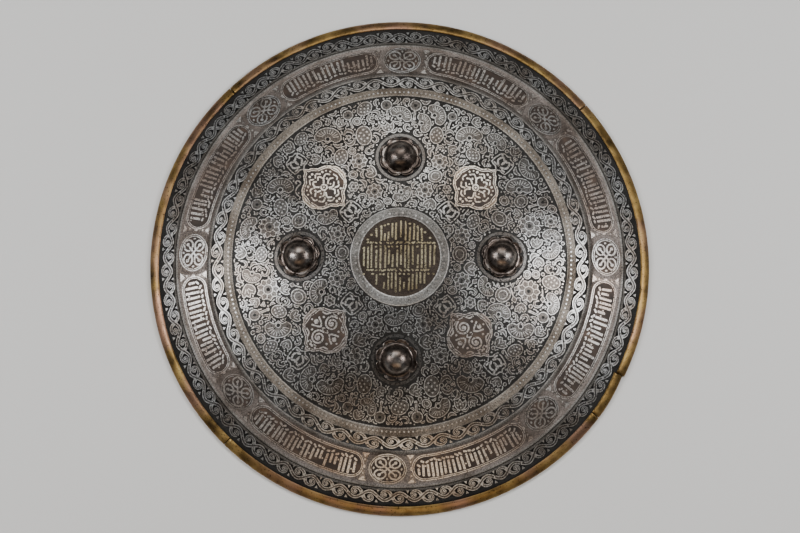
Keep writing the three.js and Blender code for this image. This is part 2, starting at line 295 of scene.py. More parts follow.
# Each ring's outer radius and its colour, from the middle outwards.
ZONE_COLOURS = [
    (MEDALLION[1], "#4a4037"), (MEDALLION_RING[0] + LIP, "#c4c1bb"), (MEDALLION_RING[1] - LIP, "#93908a"),
    (MEDALLION_RING[1], "#c4c1bb"), (DOTTED_RING[0], BLACKED), (DOTTED_RING[0] + LIP, "#b0a89c"),
    (DOTTED_RING[1] - LIP, "#93897c"), (DOTTED_RING[1], "#b0a89c"), (INNER_SCROLL[1], BLACKED),
    (PANEL_BAND[0], PLAIN_STEEL), (PANEL_BAND[1], "#857b73"), (GROOVE[0], PLAIN_STEEL),
    (GROOVE[1], "#3c3934"), (OUTER_SCROLL[0], PLAIN_STEEL), (OUTER_SCROLL[1], "#2b2926"),
    (PAINTED_RADIUS, "#26231f")]


def ground_finish():
    """Acid-etched steel: dull and gritty, black in the ornament's ground, warm grey on the bands."""
    material, tree = new_material("etched_blackened_steel")
    where = node(tree, "ShaderNodeTexCoord").outputs["Object"]
    flat = node(tree, "ShaderNodeVectorMath", {0: where, 1: (1, 1, 0)}, operation="MULTIPLY")
    radius = node(tree, "ShaderNodeVectorMath", {0: flat.outputs[0]}, operation="LENGTH")
    share = node(tree, "ShaderNodeMath", {0: radius.outputs["Value"], 1: PAINTED_RADIUS * MM},
                 operation="DIVIDE")
    starts = [0.0] + [outer / PAINTED_RADIUS for outer, code in ZONE_COLOURS[:-1]]
    zone = node(tree, "ShaderNodeValToRGB", {"Fac": share.outputs[0]},
                [(start, code) for start, (outer, code) in zip(starts, ZONE_COLOURS)])
    zone.color_ramp.interpolation = "CONSTANT"
    stains = node(tree, "ShaderNodeTexNoise", {"Vector": where, "Scale": 1 / (30 * MM), "Detail": 4.0})
    stain = node(tree, "ShaderNodeValToRGB", {"Fac": stains.outputs["Fac"]},
                 [(0.35, "#8a7a6a"), (0.6, "#ffffff")])
    stained = node(tree, "ShaderNodeMix", {0: 0.7, 6: zone.outputs[0], 7: stain.outputs[0]},
                   data_type="RGBA", blend_type="MULTIPLY")
    grit = node(tree, "ShaderNodeTexNoise", {"Vector": where, "Scale": 1 / (1.1 * MM), "Detail": 2.0})
    speck = node(tree, "ShaderNodeValToRGB", {"Fac": grit.outputs["Fac"]},
                 [(0.35, "#777777"), (0.65, "#ffffff")])
    colour = node(tree, "ShaderNodeMix", {0: 0.8, 6: stained.outputs[2], 7: speck.outputs[0]},
                  data_type="RGBA", blend_type="MULTIPLY")
    bump = node(tree, "ShaderNodeBump", {"Height": grit.outputs["Fac"], "Distance": 0.12 * MM,
                                         "Strength": 0.8})
    shader = node(tree, "ShaderNodeBsdfPrincipled",
                  {"Base Color": colour.outputs[2], "Metallic": 0.8, "Roughness": 0.55,
                   "Normal": bump.outputs[0]})
    node(tree, "ShaderNodeOutputMaterial", {"Surface": shader.outputs[0]})
    return material


etched_ground = ground_finish()
print("material", etched_ground.name, len(ZONE_COLOURS), "rings of colour")

# %% [markdown]
# ## Finish: the burnished relief
# What the acid left standing was burnished, and hands kept it bright. The outlines take the brightest
# colour: partly that burnish, partly a painted highlight for the light their rounded edges catch.
# Each carved piece stores a number at its points: 0 at the foot of its walls, a half on its leaves
# and 1 on its outlines. The finish reads that number, so one recipe serves steel and gilded work.

# %% Burnished relief
def relief_finish(name, foot, leaf, outline, warm):
    """Burnished steel over a dark ground: outlines bright from burnish and a painted edge highlight, greyer
    leaves, brown where hands don't reach.
    """
    material, tree = new_material(name)
    where = node(tree, "ShaderNodeTexCoord").outputs["Object"]
    tone = node(tree, "ShaderNodeAttribute", attribute_name="tone").outputs["Fac"]
    # The outline stop is burnish plus a painted highlight for the light the rounded edges catch.
    metal = node(tree, "ShaderNodeValToRGB", {"Fac": tone},
                 [(0.05, foot), (0.45, leaf), (0.6, leaf), (0.95, outline)])
    stains = node(tree, "ShaderNodeTexNoise", {"Vector": where, "Scale": 1 / (35 * MM), "Detail": 5.0})
    stain = node(tree, "ShaderNodeValToRGB", {"Fac": stains.outputs["Fac"]},
                 [(0.38, warm), (0.58, "#ffffff")])
    stained = node(tree, "ShaderNodeMix", {0: 0.75, 6: metal.outputs[0], 7: stain.outputs[0]},
                   data_type="RGBA", blend_type="MULTIPLY")
    grit = node(tree, "ShaderNodeTexNoise", {"Vector": where, "Scale": 1 / (1.4 * MM), "Detail": 3.0})
    speck = node(tree, "ShaderNodeValToRGB", {"Fac": grit.outputs["Fac"]},
                 [(0.34, "#5a5652"), (0.55, "#ffffff")])
    colour = node(tree, "ShaderNodeMix", {0: 0.8, 6: stained.outputs[2], 7: speck.outputs[0]},
                  data_type="RGBA", blend_type="MULTIPLY")
    rough = node(tree, "ShaderNodeMapRange", {"Value": grit.outputs["Fac"], "From Min": 0.3,
                                              "From Max": 0.7, "To Min": 0.25, "To Max": 0.44})
    bump = node(tree, "ShaderNodeBump", {"Height": grit.outputs["Fac"], "Distance": 0.1 * MM,
                                         "Strength": 0.5})
    shader = node(tree, "ShaderNodeBsdfPrincipled",
                  {"Base Color": colour.outputs[2], "Metallic": 0.9, "Roughness": rough.outputs[0],
                   "Normal": bump.outputs[0]})
    node(tree, "ShaderNodeOutputMaterial", {"Surface": shader.outputs[0]})
    return material


# The third colour of each, for the outlines, is burnish plus a painted highlight on their edges.
burnished_steel_edge_highlight = relief_finish("burnished_etched_steel_edge_highlight", "#302e2c", "#63605c", "#bebcb7", "#bcaa9a")
gilded_steel = relief_finish("worn_gilded_steel", "#40342d", "#9a8d7c", "#eee6d8", "#dccabb")
faded_gilding = relief_finish("faded_gilded_steel", "#3a3026", "#7c6c50", "#cbbf9e", "#b8a890")
browned_relief = relief_finish("browned_relief_steel", "#332b25", "#877f77", "#c8c1b8", "#c4b0a2")
print("materials", [m.name for m in (burnished_steel_edge_highlight, gilded_steel, faded_gilding, browned_relief)])

# %% [markdown]
# ## The plate
# One sheet of steel, so one closed shell: a profile of the face with its sunk zones, and the smooth
# hollow back, turned about the middle. A lathe in numpy is the plainest way to keep both faces exact.
# The ornament comes later and stands on the sunk grounds.

# %% Plate
GROUND_DEPTH = {OUTER_SCROLL: 0.45, PANEL_BAND: 0.3, INNER_SCROLL: 0.45, DOTTED_RING: 0.2,
                FIELD: 0.45, MEDALLION_RING: 0.2, MEDALLION: 0.45}
TURN_STEPS = 288
RING_SPACING = 4.0


def turned_shell(name, profile, steps=TURN_STEPS):
    """A closed body from a profile of (radius, lift) that starts and ends on the axis."""
    radius, lift = np.array(profile[1:-1]).T
    azimuth = np.linspace(0, 2 * math.pi, steps, endpoint=False)
    rings = on_dome(radius[:, None], azimuth[None, :], lift[:, None]).reshape(-1, 3)
    poles = [on_dome(r, 0.0, l) for r, l in (profile[0], profile[-1])]
    count = len(radius)
    index = np.arange(count * steps).reshape(count, steps)
    after = np.roll(index, -1, axis=1)
    quads = np.stack([index[:-1], index[1:], after[1:], after[:-1]], axis=-1).reshape(-1, 4).tolist()
    first, last = count * steps, count * steps + 1
    quads += [(first, index[0, i], after[0, i]) for i in range(steps)]
    quads += [(last, after[-1, i], index[-1, i]) for i in range(steps)]
    return mesh_object(name, np.vstack([rings, poles]), quads)


def face_profile():
    """From the middle of the face out to the edge, stepping down into each sunk zone."""
    wall = 0.25
    chamfer = 0.4
    stops = [(0.0, 0.0)]
    for zone in (MEDALLION, MEDALLION_RING, FIELD, DOTTED_RING, INNER_SCROLL, PANEL_BAND, OUTER_SCROLL):
        inner, outer = zone
        depth = -GROUND_DEPTH[zone]
        if inner > 0:
            stops += [(inner - wall / 2, stops[-1][1]), (inner + wall / 2, depth)]
        else:
            stops = [(0.0, depth)]
        stops += [(outer - wall, depth)]
        if zone in (INNER_SCROLL, PANEL_BAND, OUTER_SCROLL):
            stops += [(outer, 0.0)]
    stops += [(PLATE_RADIUS - chamfer, 0.0), (PLATE_RADIUS, -chamfer)]
    profile = [stops[0]]
    for (r0, l0), (r1, l1) in zip(stops, stops[1:]):
        parts = max(1, round((r1 - r0) / RING_SPACING))
        profile += [(r0 + (r1 - r0) * k / parts, l0 + (l1 - l0) * k / parts) for k in range(1, parts + 1)]
    return profile


back = [(r, -THICKNESS) for r in np.linspace(PLATE_RADIUS, 0, 30)]
plate = turned_shell("bowl_plate", face_profile() + back)
plate.data.materials.append(etched_ground)
finish_piece(plate, ["bowl"])

# %% [markdown]
# ## The bosses
# Each boss was hammered up from one disc: a dome with radial file lines, and a flange cut into eight
# lobes with a rolled lip. Its shank goes through the plate and is clenched behind. A turned profile
# gives the round part, and a wave round the circle cuts the lobes.

# %% The section of a boss
DOME_RADIUS = 14.2
DOME_FOOT = 1.7                   # where the dome springs from the flange
DOME_RISE = 12.4
FLANGE_RADIUS = 18.6
SHANK_RADIUS = 3.0
SHANK_END = -2.4
CLENCH_RADIUS = 6.5
CLENCH_RISE = 1.8


def boss_profile():
    """(radius, height, how strongly the lobes shape it), from the top of the dome to the clenched end."""
    dome = [(DOME_RADIUS * math.sin(t), DOME_FOOT + DOME_RISE * math.cos(t), 0.0)
            for t in np.linspace(0, math.pi / 2, 26)]
    flange = [(DOME_RADIUS + 0.3, 1.25, 0.0), (DOME_RADIUS + 0.9, 1.2, 0.1), (16.0, 0.95, 0.5),
              (17.0, 1.3, 0.9), (17.6, 2.1, 1.0), (18.2, 2.2, 1.0), (FLANGE_RADIUS, 1.7, 1.0),
              (FLANGE_RADIUS, 0.6, 1.0)]
    shank = [(SHANK_RADIUS, 0.6, 0.0), (SHANK_RADIUS, SHANK_END, 0.0)]
    clench = [(CLENCH_RADIUS * math.sin(t), SHANK_END - CLENCH_RISE * math.cos(t), 0.0)
              for t in np.linspace(math.pi / 2, 0, 7)]
    return dome + flange + shank + clench


print(f"a boss stands {boss_profile()[0][1]:.1f} mm out of the plate")

# %% Bosses
LOBES = 8
LOBE_REACH = 0.9
NOTCH = 3.4                       # how far the notches between lobes cut in
NOTCH_DIP = 0.9                   # and how far the lip sinks in them
LOBE_TURN = {"boss_east": 7, "boss_north": 2, "boss_west": -11, "boss_south": 4}
FILE_LINES = 72
FILE_DEPTH = 0.10


def boss(name):
    """A turned shell that stands square to the dome at the solid's place."""
    low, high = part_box(name)
    middle = (low + high) / 2
    radius, azimuth = math.hypot(middle.x, middle.y) / MM, math.atan2(middle.y, middle.x)
    slope = math.asin(radius / BALL)
    foot = on_dome(radius, azimuth)
    normal = np.array([math.sin(slope) * math.cos(azimuth), math.sin(slope) * math.sin(azimuth),
                       math.cos(slope)])
    across = np.array([math.cos(slope) * math.cos(azimuth), math.cos(slope) * math.sin(azimuth),
                       -math.sin(slope)])
    side = np.cross(normal, across)
    steps = LOBES * 36
    around = np.linspace(0, 2 * math.pi, steps, endpoint=False)
    turn = math.radians(LOBE_TURN[name])
    profile = np.array(boss_profile())[1:-1]
    reach, height, lobed = (profile[:, k][:, None] for k in range(3))
    wave = np.abs(np.sin((around - turn) * LOBES / 2))[None, :] ** 0.5
    reach = reach + lobed * (LOBE_REACH - NOTCH * (1 - wave))
    on_top = (height > DOME_FOOT) & (lobed == 0)
    fade = np.clip(np.where(on_top, reach / DOME_RADIUS, 0) * 1.6 - 0.15, 0, 1)
    lines = FILE_DEPTH * fade * np.abs(np.sin(around * FILE_LINES / 2))[None, :] * on_top
    reach = reach - lines
    height = height - NOTCH_DIP * lobed * (height > 1.0) * (1 - wave) ** 2
    points = (foot + (reach * np.cos(around))[..., None] * across * MM
              + (reach * np.sin(around))[..., None] * side * MM
              + height[..., None] * normal * MM).reshape(-1, 3)
    top, bottom = boss_profile()[0][1], boss_profile()[-1][1]
    poles = [foot + top * MM * normal, foot + bottom * MM * normal]
    index = np.arange(len(profile) * steps).reshape(-1, steps)
    after = np.roll(index, -1, axis=1)
    quads = np.stack([index[:-1], index[1:], after[1:], after[:-1]], axis=-1).reshape(-1, 4).tolist()
    first = len(points)
    quads += [(first, index[0, i], after[0, i]) for i in range(steps)]
    quads += [(first + 1, after[-1, i], index[-1, i]) for i in range(steps)]
    piece = mesh_object(name + "_dome", np.vstack([points, poles]), quads)
    piece.data.materials.append(browned_steel)
    finish_piece(piece, [name])


for name in LOBE_TURN:
    boss(name)

# %% [markdown]
# ## The rim
# A strip of brass folded over the edge in five lengths. The folds aren't even: the leg on the face
# wanders by a fraction of a millimetre. The short length is an old repair whose loose end has slipped
# inwards. Each is a section of the channel swept round the edge.

# %% Rim
RIM_LENGTHS = {                    # degrees round the rim where each length begins and ends
    "rim_binding_east": (333.4, 401.0), "rim_binding_north": (41.0, 133.5),
    "rim_binding_west": (133.5, 225.8), "rim_binding_south": (225.8, 322.3),
    "rim_binding_repair": (322.3, 333.4)}
JOINT_OPENING = 0.1                # degrees left free at each end of a length
REPAIR_SLIP = 2.2                  # how far the repair's loose end has slipped inwards
# The channel's section: along the slope outwards, and out of the face; the foot of the fold is last.
CHANNEL = [(-8.0, 0.3), (-8.05, 0.65), (-7.5, 1.05), (-6.0, 1.4), (-4.2, 1.62), (-2.2, 1.65), (-0.6, 1.45),
           (0.5, 1.12), (1.25, 0.62), (1.7, 0.0), (1.9, -0.7), (1.9, -1.4), (1.75, -1.95), (1.58, -2.25),
           (0.02, -3.15), (-1.2, -3.25), (-6.5, -2.9), (-6.5, -2.1), (0.2, -2.1), (0.3, -0.9), (0.2, 0.3)]
EDGE_SLOPE = math.asin(PLATE_RADIUS / BALL)
FULL_TURN = 6.283


def wander(azimuth, seed, size):
    """A smooth uneven value round the rim, made of a few waves with seeded phases."""
    draw = random.Random(seed)
    waves = [(k, draw.uniform(0, FULL_TURN), draw.uniform(0.5, 1.0) / (1 + 0.05 * k))
             for k in (5, 11, 23, 41, 67)]
    return size * sum(a * np.sin(k * azimuth + p) for k, p, a in waves) / 2.2


def rim_length(name):
    """The channel's section at every half degree, joined up and closed at both ends."""
    start, end = RIM_LENGTHS[name]
    azimuth = np.radians(np.arange(start + JOINT_OPENING, end - JOINT_OPENING, 0.5))
    azimuth = np.append(azimuth, math.radians(end - JOINT_OPENING))
    slip = np.zeros_like(azimuth)
    if name == "rim_binding_repair":
        slip = REPAIR_SLIP * ((azimuth - azimuth[0]) / (azimuth[-1] - azimuth[0])) ** 2
    along, out = np.array(CHANNEL).T
    inner_leg = (along < -4) & (out > 0)
    s = along[None, :] - slip[:, None] + inner_leg[None, :] * wander(azimuth, 3, 0.35)[:, None]
    n = out[None, :] + (out > 0.9)[None, :] * wander(azimuth, 8, 0.1)[:, None]
    reach = PLATE_RADIUS + s * math.cos(EDGE_SLOPE) + n * math.sin(EDGE_SLOPE)
    height = EDGE_HEIGHT - s * math.sin(EDGE_SLOPE) + n * math.cos(EDGE_SLOPE)
    a = azimuth[:, None]
    points = np.stack([reach * np.cos(a), reach * np.sin(a), np.maximum(height, 0.0)], axis=-1) * MM
    stations, corners = s.shape
    index = np.arange(stations * corners).reshape(stations, corners)
    after = np.roll(index, -1, axis=1)
    quads = np.stack([index[:-1], after[:-1], after[1:], index[1:]], axis=-1).reshape(-1, 4).tolist()
    faces = quads + [index[0, ::-1].tolist(), index[-1].tolist()]
    piece = mesh_object(name + "_channel", points.reshape(-1, 3), faces)
    piece.data.materials.append(aged_brass)
    finish_piece(piece, [name])


for name in RIM_LENGTHS:
    rim_length(name)

# %% [markdown]
# ## Drawing ornament
# The ornament is drawn flat in millimetres before it is laid on the dome. A point is one complex
# number, real part across and imaginary part up, so turning a shape is one multiplication. Three
# helpers draw nearly everything: a round outline, a smooth curve through a few points, and a stroke
# of given width along a curve.

# %% Outlines
def oval(centre, across, up=None, sides=18, turn=0.0):
    t = np.arange(sides) / sides * 2 * math.pi
    up = across if up is None else up
    return centre + np.exp(1j * turn) * (across * np.cos(t) + 1j * up * np.sin(t))


def curve(points, steps=4, closed=False):
    """A smooth line through hand-set points (a Catmull-Rom spline)."""
    p = np.array([complex(*q) for q in points])
    if closed:
        p = np.concatenate([p[-1:], p, p[:2]])
    else:
        p = np.concatenate([[2 * p[0] - p[1]], p, [2 * p[-1] - p[-2]]])
    a, b, c, d = (p[k:len(p) - 3 + k, None] for k in range(4))
    t = np.arange(steps)[None, :] / steps
    line = 0.5 * (2 * b + (c - a) * t + (2 * a - 5 * b + 4 * c - d) * t ** 2
                  + (3 * b - a - 3 * c + d) * t ** 3)
    return line.ravel() if closed else np.append(line, p[-2])


def stroke(path, width, pointed=0.5):
    """The outline of a brush stroke: width is one number, or one for each point of the path."""
    along = np.gradient(path)
    along = along / np.abs(along)
    half = np.broadcast_to(width, path.shape) / 2
    right, left = path - 1j * along * half, path + 1j * along * half
    end_tip = path[-1] + along[-1] * half[-1] * pointed
    start_tip = path[0] - along[0] * half[0] * pointed
    return np.concatenate([right, [end_tip], left[::-1], [start_tip]])


def belly(path, width, least=0.25):
    """Widths for a leaf: thin at both ends of its path and full in the middle."""
    t = np.linspace(0, 1, len(path))
    return width * np.maximum(np.sin(math.pi * t) ** 0.8, least)


def twice_area(outline):
    """Positive where the outline runs anticlockwise."""
    return np.sum(np.imag(np.conj(outline) * np.roll(outline, -1)))


def inset(outline, distance):
    """The outline moved inwards, or outwards where the distance is negative."""
    along = np.roll(outline, -1) - np.roll(outline, 1)
    return outline + 1j * along / np.abs(along) * distance * np.sign(twice_area(outline))


bow = curve([(0, 0), (2, 4), (0, 8)])
print("a leaf along", len(bow), "points has an outline of", len(stroke(bow, belly(bow, 3.0))))

# %% [markdown]
# ## From a drawing to a raised shape
# A drawing is a pile of outlines, each with a level, and the last one on top wins, as with paint. A
# constrained Delaunay triangulation cuts the sheet along every outline at once and says which
# outlines cover each triangle. Raised triangles are kept, walls join different levels, and a bottom
# sunk in the plate closes the shape. This gives crisp steps that a height map would blur.

# %% Raised shapes
OUTLINE, LEAF, CUT = 1.0, 0.5, 0.0
HEIGHT = {OUTLINE: 0.0, LEAF: -0.13, CUT: -0.95}    # millimetres out of the plate's plain face
LINE_WIDTH = 0.75


def framed(outline, width=LINE_WIDTH, inner=LEAF):
    """A shape with a bright outline round a lower middle."""
    return [(outline, OUTLINE), (inset(outline, width), inner)]


def raised(name, layers, depth=HEIGHT):
    """The flat drawing as a closed mesh, its face in the plane z = 0, with the number called tone."""
    points, loops = [], []
    for outline, level in layers:
        outline = outline if twice_area(outline) > 0 else outline[::-1]
        loops.append(list(range(len(points), len(points) + len(outline))))
        points += [Vector((z.real, z.imag)) for z in outline]
    flat, edges, triangles, _, _, covers = delaunay_2d_cdt(points, [], loops, 1, 1e-4, True)
    kept = [(t, layers[max(c)][1]) for t, c in zip(triangles, covers)
            if c and layers[max(c)][1] != CUT]
    beside = {(t[k], t[k - 2]): level for t, level in kept for k in range(3)}
    corners, faces = {}, []

    def at(v, level):
        return corners.setdefault((v, level), len(corners))

    for triangle, level in kept:
        faces.append([at(v, level) for v in triangle])
        faces.append([at(v, CUT) for v in reversed(triangle)])
        for k in range(3):
            a, b = triangle[k], triangle[k - 2]
            other = beside.get((b, a), CUT)
            if other < level:
                faces.append([at(a, level), at(a, other), at(b, other), at(b, level)])
    coordinates = [(flat[v].x * MM, flat[v].y * MM, depth[level] * MM) for v, level in corners]
    made = mesh_object(name, coordinates, faces)
    tone = made.data.attributes.new("tone", "FLOAT", "POINT")
    tone.data.foreach_set("value", [level for v, level in corners])
    return made


sample = raised("sample", framed(oval(0, 5)))
print("one framed disc has", len(sample.data.polygons), "faces")
bpy.data.objects.remove(sample)

# %% [markdown]
# ## Laying a flat sheet on the dome
# One small group of geometry nodes does what `on_dome` does. It reads each point of the flat sheet,
# either as across and up on the plan, or as a ribbon whose length runs round the shield. A little
# noise pushes the points about first, because the lines were cut by hand.

# %% The dome as a node group
def dome_group():
    """The sums of on_dome as nodes, one row of the list below for each."""
    tree = bpy.data.node_groups.new("lay_on_dome", "GeometryNodeTree")
    for name, kind in (("Geometry", "NodeSocketGeometry"), ("Ribbon", "NodeSocketBool"),
                       ("Ribbon Radius", "NodeSocketFloat"), ("Unevenness", "NodeSocketFloat")):
        tree.interface.new_socket(name, in_out="INPUT", socket_type=kind)
    tree.interface.new_socket("Geometry", in_out="OUTPUT", socket_type="NodeSocketGeometry")
    given = node(tree, "NodeGroupInput").outputs
    place = node(tree, "GeometryNodeInputPosition").outputs[0]
    shake = node(tree, "ShaderNodeTexNoise", {"Vector": place, "Scale": 1 / (9 * MM), "Detail": 1.0})
    centred = node(tree, "ShaderNodeVectorMath", {0: shake.outputs["Color"], 1: (0.5, 0.5, 0.5)},
                   operation="SUBTRACT")
    flat_only = node(tree, "ShaderNodeVectorMath", {0: centred.outputs[0], 1: (1, 1, 0)},
                     operation="MULTIPLY")
    push = node(tree, "ShaderNodeVectorMath", {0: flat_only.outputs[0], "Scale": given["Unevenness"]},
                operation="SCALE")
    moved = node(tree, "ShaderNodeVectorMath", {0: place, 1: push.outputs[0]}, operation="ADD")
    axes = node(tree, "ShaderNodeSeparateXYZ", {0: moved.outputs[0]}).outputs
    on_plan = node(tree, "ShaderNodeCombineXYZ", {0: axes[0], 1: axes[1]}).outputs[0]
    plan = node(tree, "ShaderNodeVectorMath", {0: on_plan}, operation="LENGTH").outputs["Value"]
    turn = node(tree, "ShaderNodeMath", {0: axes[1], 1: axes[0]}, operation="ARCTAN2").outputs[0]
    bent = node(tree, "ShaderNodeMath", {0: axes[0], 1: given["Ribbon Radius"]},
                operation="DIVIDE").outputs[0]
    known = {"lift": axes[2], "ball": BALL * MM, "below": (BALL - CROWN) * MM}
    for name, off, on in (("radius", plan, axes[1]), ("azimuth", turn, bent)):
        known[name] = node(tree, "GeometryNodeSwitch", {0: given["Ribbon"], 1: off, 2: on},
                           input_type="FLOAT").outputs[0]
    for name, operation, *terms in (
            ("sine", "DIVIDE", "radius", "ball"), ("slope", "ARCSINE", "sine"),
            ("cosine", "COSINE", "slope"), ("aside", "MULTIPLY", "lift", "sine"),
            ("reach", "ADD", "radius", "aside"), ("arm", "ADD", "ball", "lift"),
            ("rise", "MULTIPLY", "arm", "cosine"), ("height", "SUBTRACT", "rise", "below"),
            ("cos_azimuth", "COSINE", "azimuth"), ("sin_azimuth", "SINE", "azimuth"),
            ("x", "MULTIPLY", "reach", "cos_azimuth"), ("y", "MULTIPLY", "reach", "sin_azimuth")):
        known[name] = node(tree, "ShaderNodeMath", {i: known[term] for i, term in enumerate(terms)},
                           operation=operation).outputs[0]
    where = node(tree, "ShaderNodeCombineXYZ", {0: known["x"], 1: known["y"], 2: known["height"]})
    laid = node(tree, "GeometryNodeSetPosition",
                {"Geometry": given["Geometry"], "Position": where.outputs[0]})
    node(tree, "NodeGroupOutput", {"Geometry": laid.outputs[0]})
    return tree


lay_on_dome = dome_group()
print("group", lay_on_dome.name, len(lay_on_dome.nodes), "nodes")

# %% [markdown]
# ## Setting motifs on places
# The pattern is a few dozen motifs used over and over, so each is drawn once. A tree of geometry
# nodes puts a copy on each point of a cloud, and three numbers stored on the points choose the motif,
# turn it and size it. Realizing the copies makes them real mesh, the group lays them on the dome, and
# the result is kept as a plain mesh.

# %% The setting tree
def setting_tree():
    """Points in, a laid and coloured mesh out."""
    tree = bpy.data.node_groups.new("set_motifs", "GeometryNodeTree")
    for name, kind in (("Geometry", "NodeSocketGeometry"), ("Motifs", "NodeSocketCollection"),
                       ("Ribbon", "NodeSocketBool"), ("Ribbon Radius", "NodeSocketFloat"),
                       ("Unevenness", "NodeSocketFloat"), ("Material", "NodeSocketMaterial")):
        tree.interface.new_socket(name, in_out="INPUT", socket_type=kind)
    tree.interface.new_socket("Geometry", in_out="OUTPUT", socket_type="NodeSocketGeometry")
    given = node(tree, "NodeGroupInput").outputs
    motifs = node(tree, "GeometryNodeCollectionInfo",
                  {"Collection": given["Motifs"], "Separate Children": True, "Reset Children": True})
    which = node(tree, "GeometryNodeInputNamedAttribute", {"Name": "kind"}, data_type="INT")
    turn = node(tree, "GeometryNodeInputNamedAttribute", {"Name": "turn"}, data_type="FLOAT")
    size = node(tree, "GeometryNodeInputNamedAttribute", {"Name": "size"}, data_type="FLOAT")
    about = node(tree, "ShaderNodeCombineXYZ", {2: turn.outputs[0]})
    scale = node(tree, "ShaderNodeCombineXYZ", {0: size.outputs[0], 1: size.outputs[0], 2: 1.0})
    copies = node(tree, "GeometryNodeInstanceOnPoints",
                  {"Points": given["Geometry"], "Instance": motifs.outputs[0], "Pick Instance": True,
                   "Instance Index": which.outputs[0], "Rotation": about.outputs[0],
                   "Scale": scale.outputs[0]})
    real = node(tree, "GeometryNodeRealizeInstances", {0: copies.outputs[0]})
    laid = node(tree, "GeometryNodeGroup", node_tree=lay_on_dome)
    for name, socket in (("Geometry", real.outputs[0]), ("Ribbon", given["Ribbon"]),
                         ("Ribbon Radius", given["Ribbon Radius"]), ("Unevenness", given["Unevenness"])):
        tree.links.new(socket, laid.inputs[name])
    coloured = node(tree, "GeometryNodeSetMaterial",
                    {"Geometry": laid.outputs[0], "Material": given["Material"]})
    node(tree, "NodeGroupOutput", {"Geometry": coloured.outputs[0]})
    return tree


set_motifs = setting_tree()
print("tree", set_motifs.name, len(set_motifs.nodes), "nodes")

# %% Setting out
CREASE = math.radians(35)         # edges sharper than this are kept crisp


def set_out(name, motifs, places, material, ribbon_radius=0.0, unevenness=0.0):
    """places: (point in mm as a complex number, turn in radians, size, which motif)."""
    cloud = mesh_object(name, [(p.real * MM, p.imag * MM, 0.0) for p, *_ in places], [])
    for index, (label, kind) in enumerate((("turn", "FLOAT"), ("size", "FLOAT"), ("kind", "INT"))):
        values = cloud.data.attributes.new(label, kind, "POINT")
        values.data.foreach_set("value", [place[index + 1] for place in places])
    tray = bpy.data.collections.new(name + "_motifs")
    for index, motif in enumerate(motifs):
        motif.name = f"{index:03d}_{name}"
        bpy.context.scene.collection.objects.unlink(motif)
        tray.objects.link(motif)
    modifier = cloud.modifiers.new("set_motifs", "NODES")
    modifier.node_group = set_motifs
    values = {"Motifs": tray, "Ribbon": ribbon_radius > 0, "Ribbon Radius": ribbon_radius * MM,
              "Unevenness": unevenness * MM, "Material": material}
    for socket in set_motifs.interface.items_tree:
        if socket.in_out == "INPUT" and socket.name in values:
            modifier[socket.identifier] = values[socket.name]
    result = cloud.evaluated_get(bpy.context.evaluated_depsgraph_get())
    plain = bpy.data.meshes.new_from_object(result)
    cloud.modifiers.clear()
    old, cloud.data = cloud.data, plain
    bpy.data.meshes.remove(old)
    for motif in motifs:
        bpy.data.meshes.remove(motif.data)
    bpy.data.collections.remove(tray)
    cloud.data.set_sharp_from_angle(angle=CREASE)
    finish_piece(cloud)

# %% [markdown]
# ## The two scroll borders
# A border is one short drawing repeated round the shield: a wavy strap, and in each hollow of the
# wave a branch that curls round to a bud. Half a turn of the page maps the unit to itself, so the
# branch is drawn once. The units are set along a straight ribbon and the ribbon is bent round.

# %% Scroll borders
DRAWN_LENGTH = 27.3               # the unit's own size as it is drawn below
DRAWN_HEIGHT = 12.0
BORDER_MARGIN = 0.4               # what a unit leaves free of its sunk band


def scroll_unit(length, height):
    """One wave of the strap with its two curling branches, from x = 0 to x = length."""
    k = length / DRAWN_LENGTH
    v = height / DRAWN_HEIGHT
    x = np.linspace(0, length, 21)
    strap = x + 1j * 3.55 * v * np.sin(2 * math.pi * x / length)
    layers = framed(stroke(strap, 2.9 * v, pointed=0), 0.7)
    branch = curve([(12.9, -1.3), (11.3, -3.7), (8.7, -5.0), (5.9, -4.8), (4.0, -3.1), (4.1, -0.9),
                    (6.0, 0.3), (7.9, -0.5), (8.2, -2.0)], 3)
    branch = branch.real * k + 1j * branch.imag * v
    widths = np.interp(np.linspace(0, 1, len(branch)), [0, 0.25, 0.6, 1], [3.4, 2.3, 1.8, 1.2]) * v
    bud = oval(complex(6.9 * k, -2.0 * v), 1.35 * v, sides=10)
    thorn = np.array([-1.3 - 5.7j, 1.5 - 5.7j, 0.3 - 3.1j]) * v + 0.4
    for shape in (stroke(branch, widths), bud, thorn):
        for placed in (shape, length - shape):
            layers.append((placed, OUTLINE))
    vein = stroke(branch[2:-1], widths[2:-1] * 0.42)
    eye = oval(complex(6.9 * k, -2.0 * v), 0.55 * v, sides=7)
    for shape in (vein, eye):
        for placed in (shape, length - shape):
            layers.append((placed, LEAF))
    return layers


def scroll_border(name, zone, count):
    inner, outer = zone
    middle = (inner + outer) / 2
    length = 2 * math.pi * middle / count
    unit = raised("unit", scroll_unit(length, outer - inner - BORDER_MARGIN))
    places = [(complex(k * length, middle), 0.0, 1.0, 0) for k in range(count)]
    set_out(name, [unit], places, burnished_steel_edge_highlight, middle, unevenness=0.5)


scroll_border("bowl_outer_scroll", OUTER_SCROLL, 49)
scroll_border("bowl_inner_scroll", INNER_SCROLL, 34)

# %% [markdown]
# ## Dotted rings
# Small round dots were punched along two plain rings. A dot is repeated hundreds of times, so it has
# only a few faces: a low disc with eight sides.

# %% Dots
def dotted_ring(name, radius, count, size):
    dot = raised("dot", [(oval(0, size, sides=8), OUTLINE)])
    places = [(complex(2 * math.pi * radius * k / count, radius), 0.0, 1.0, 0) for k in range(count)]
    set_out(name, [dot], places, burnished_steel_edge_highlight, radius, unevenness=0.5)


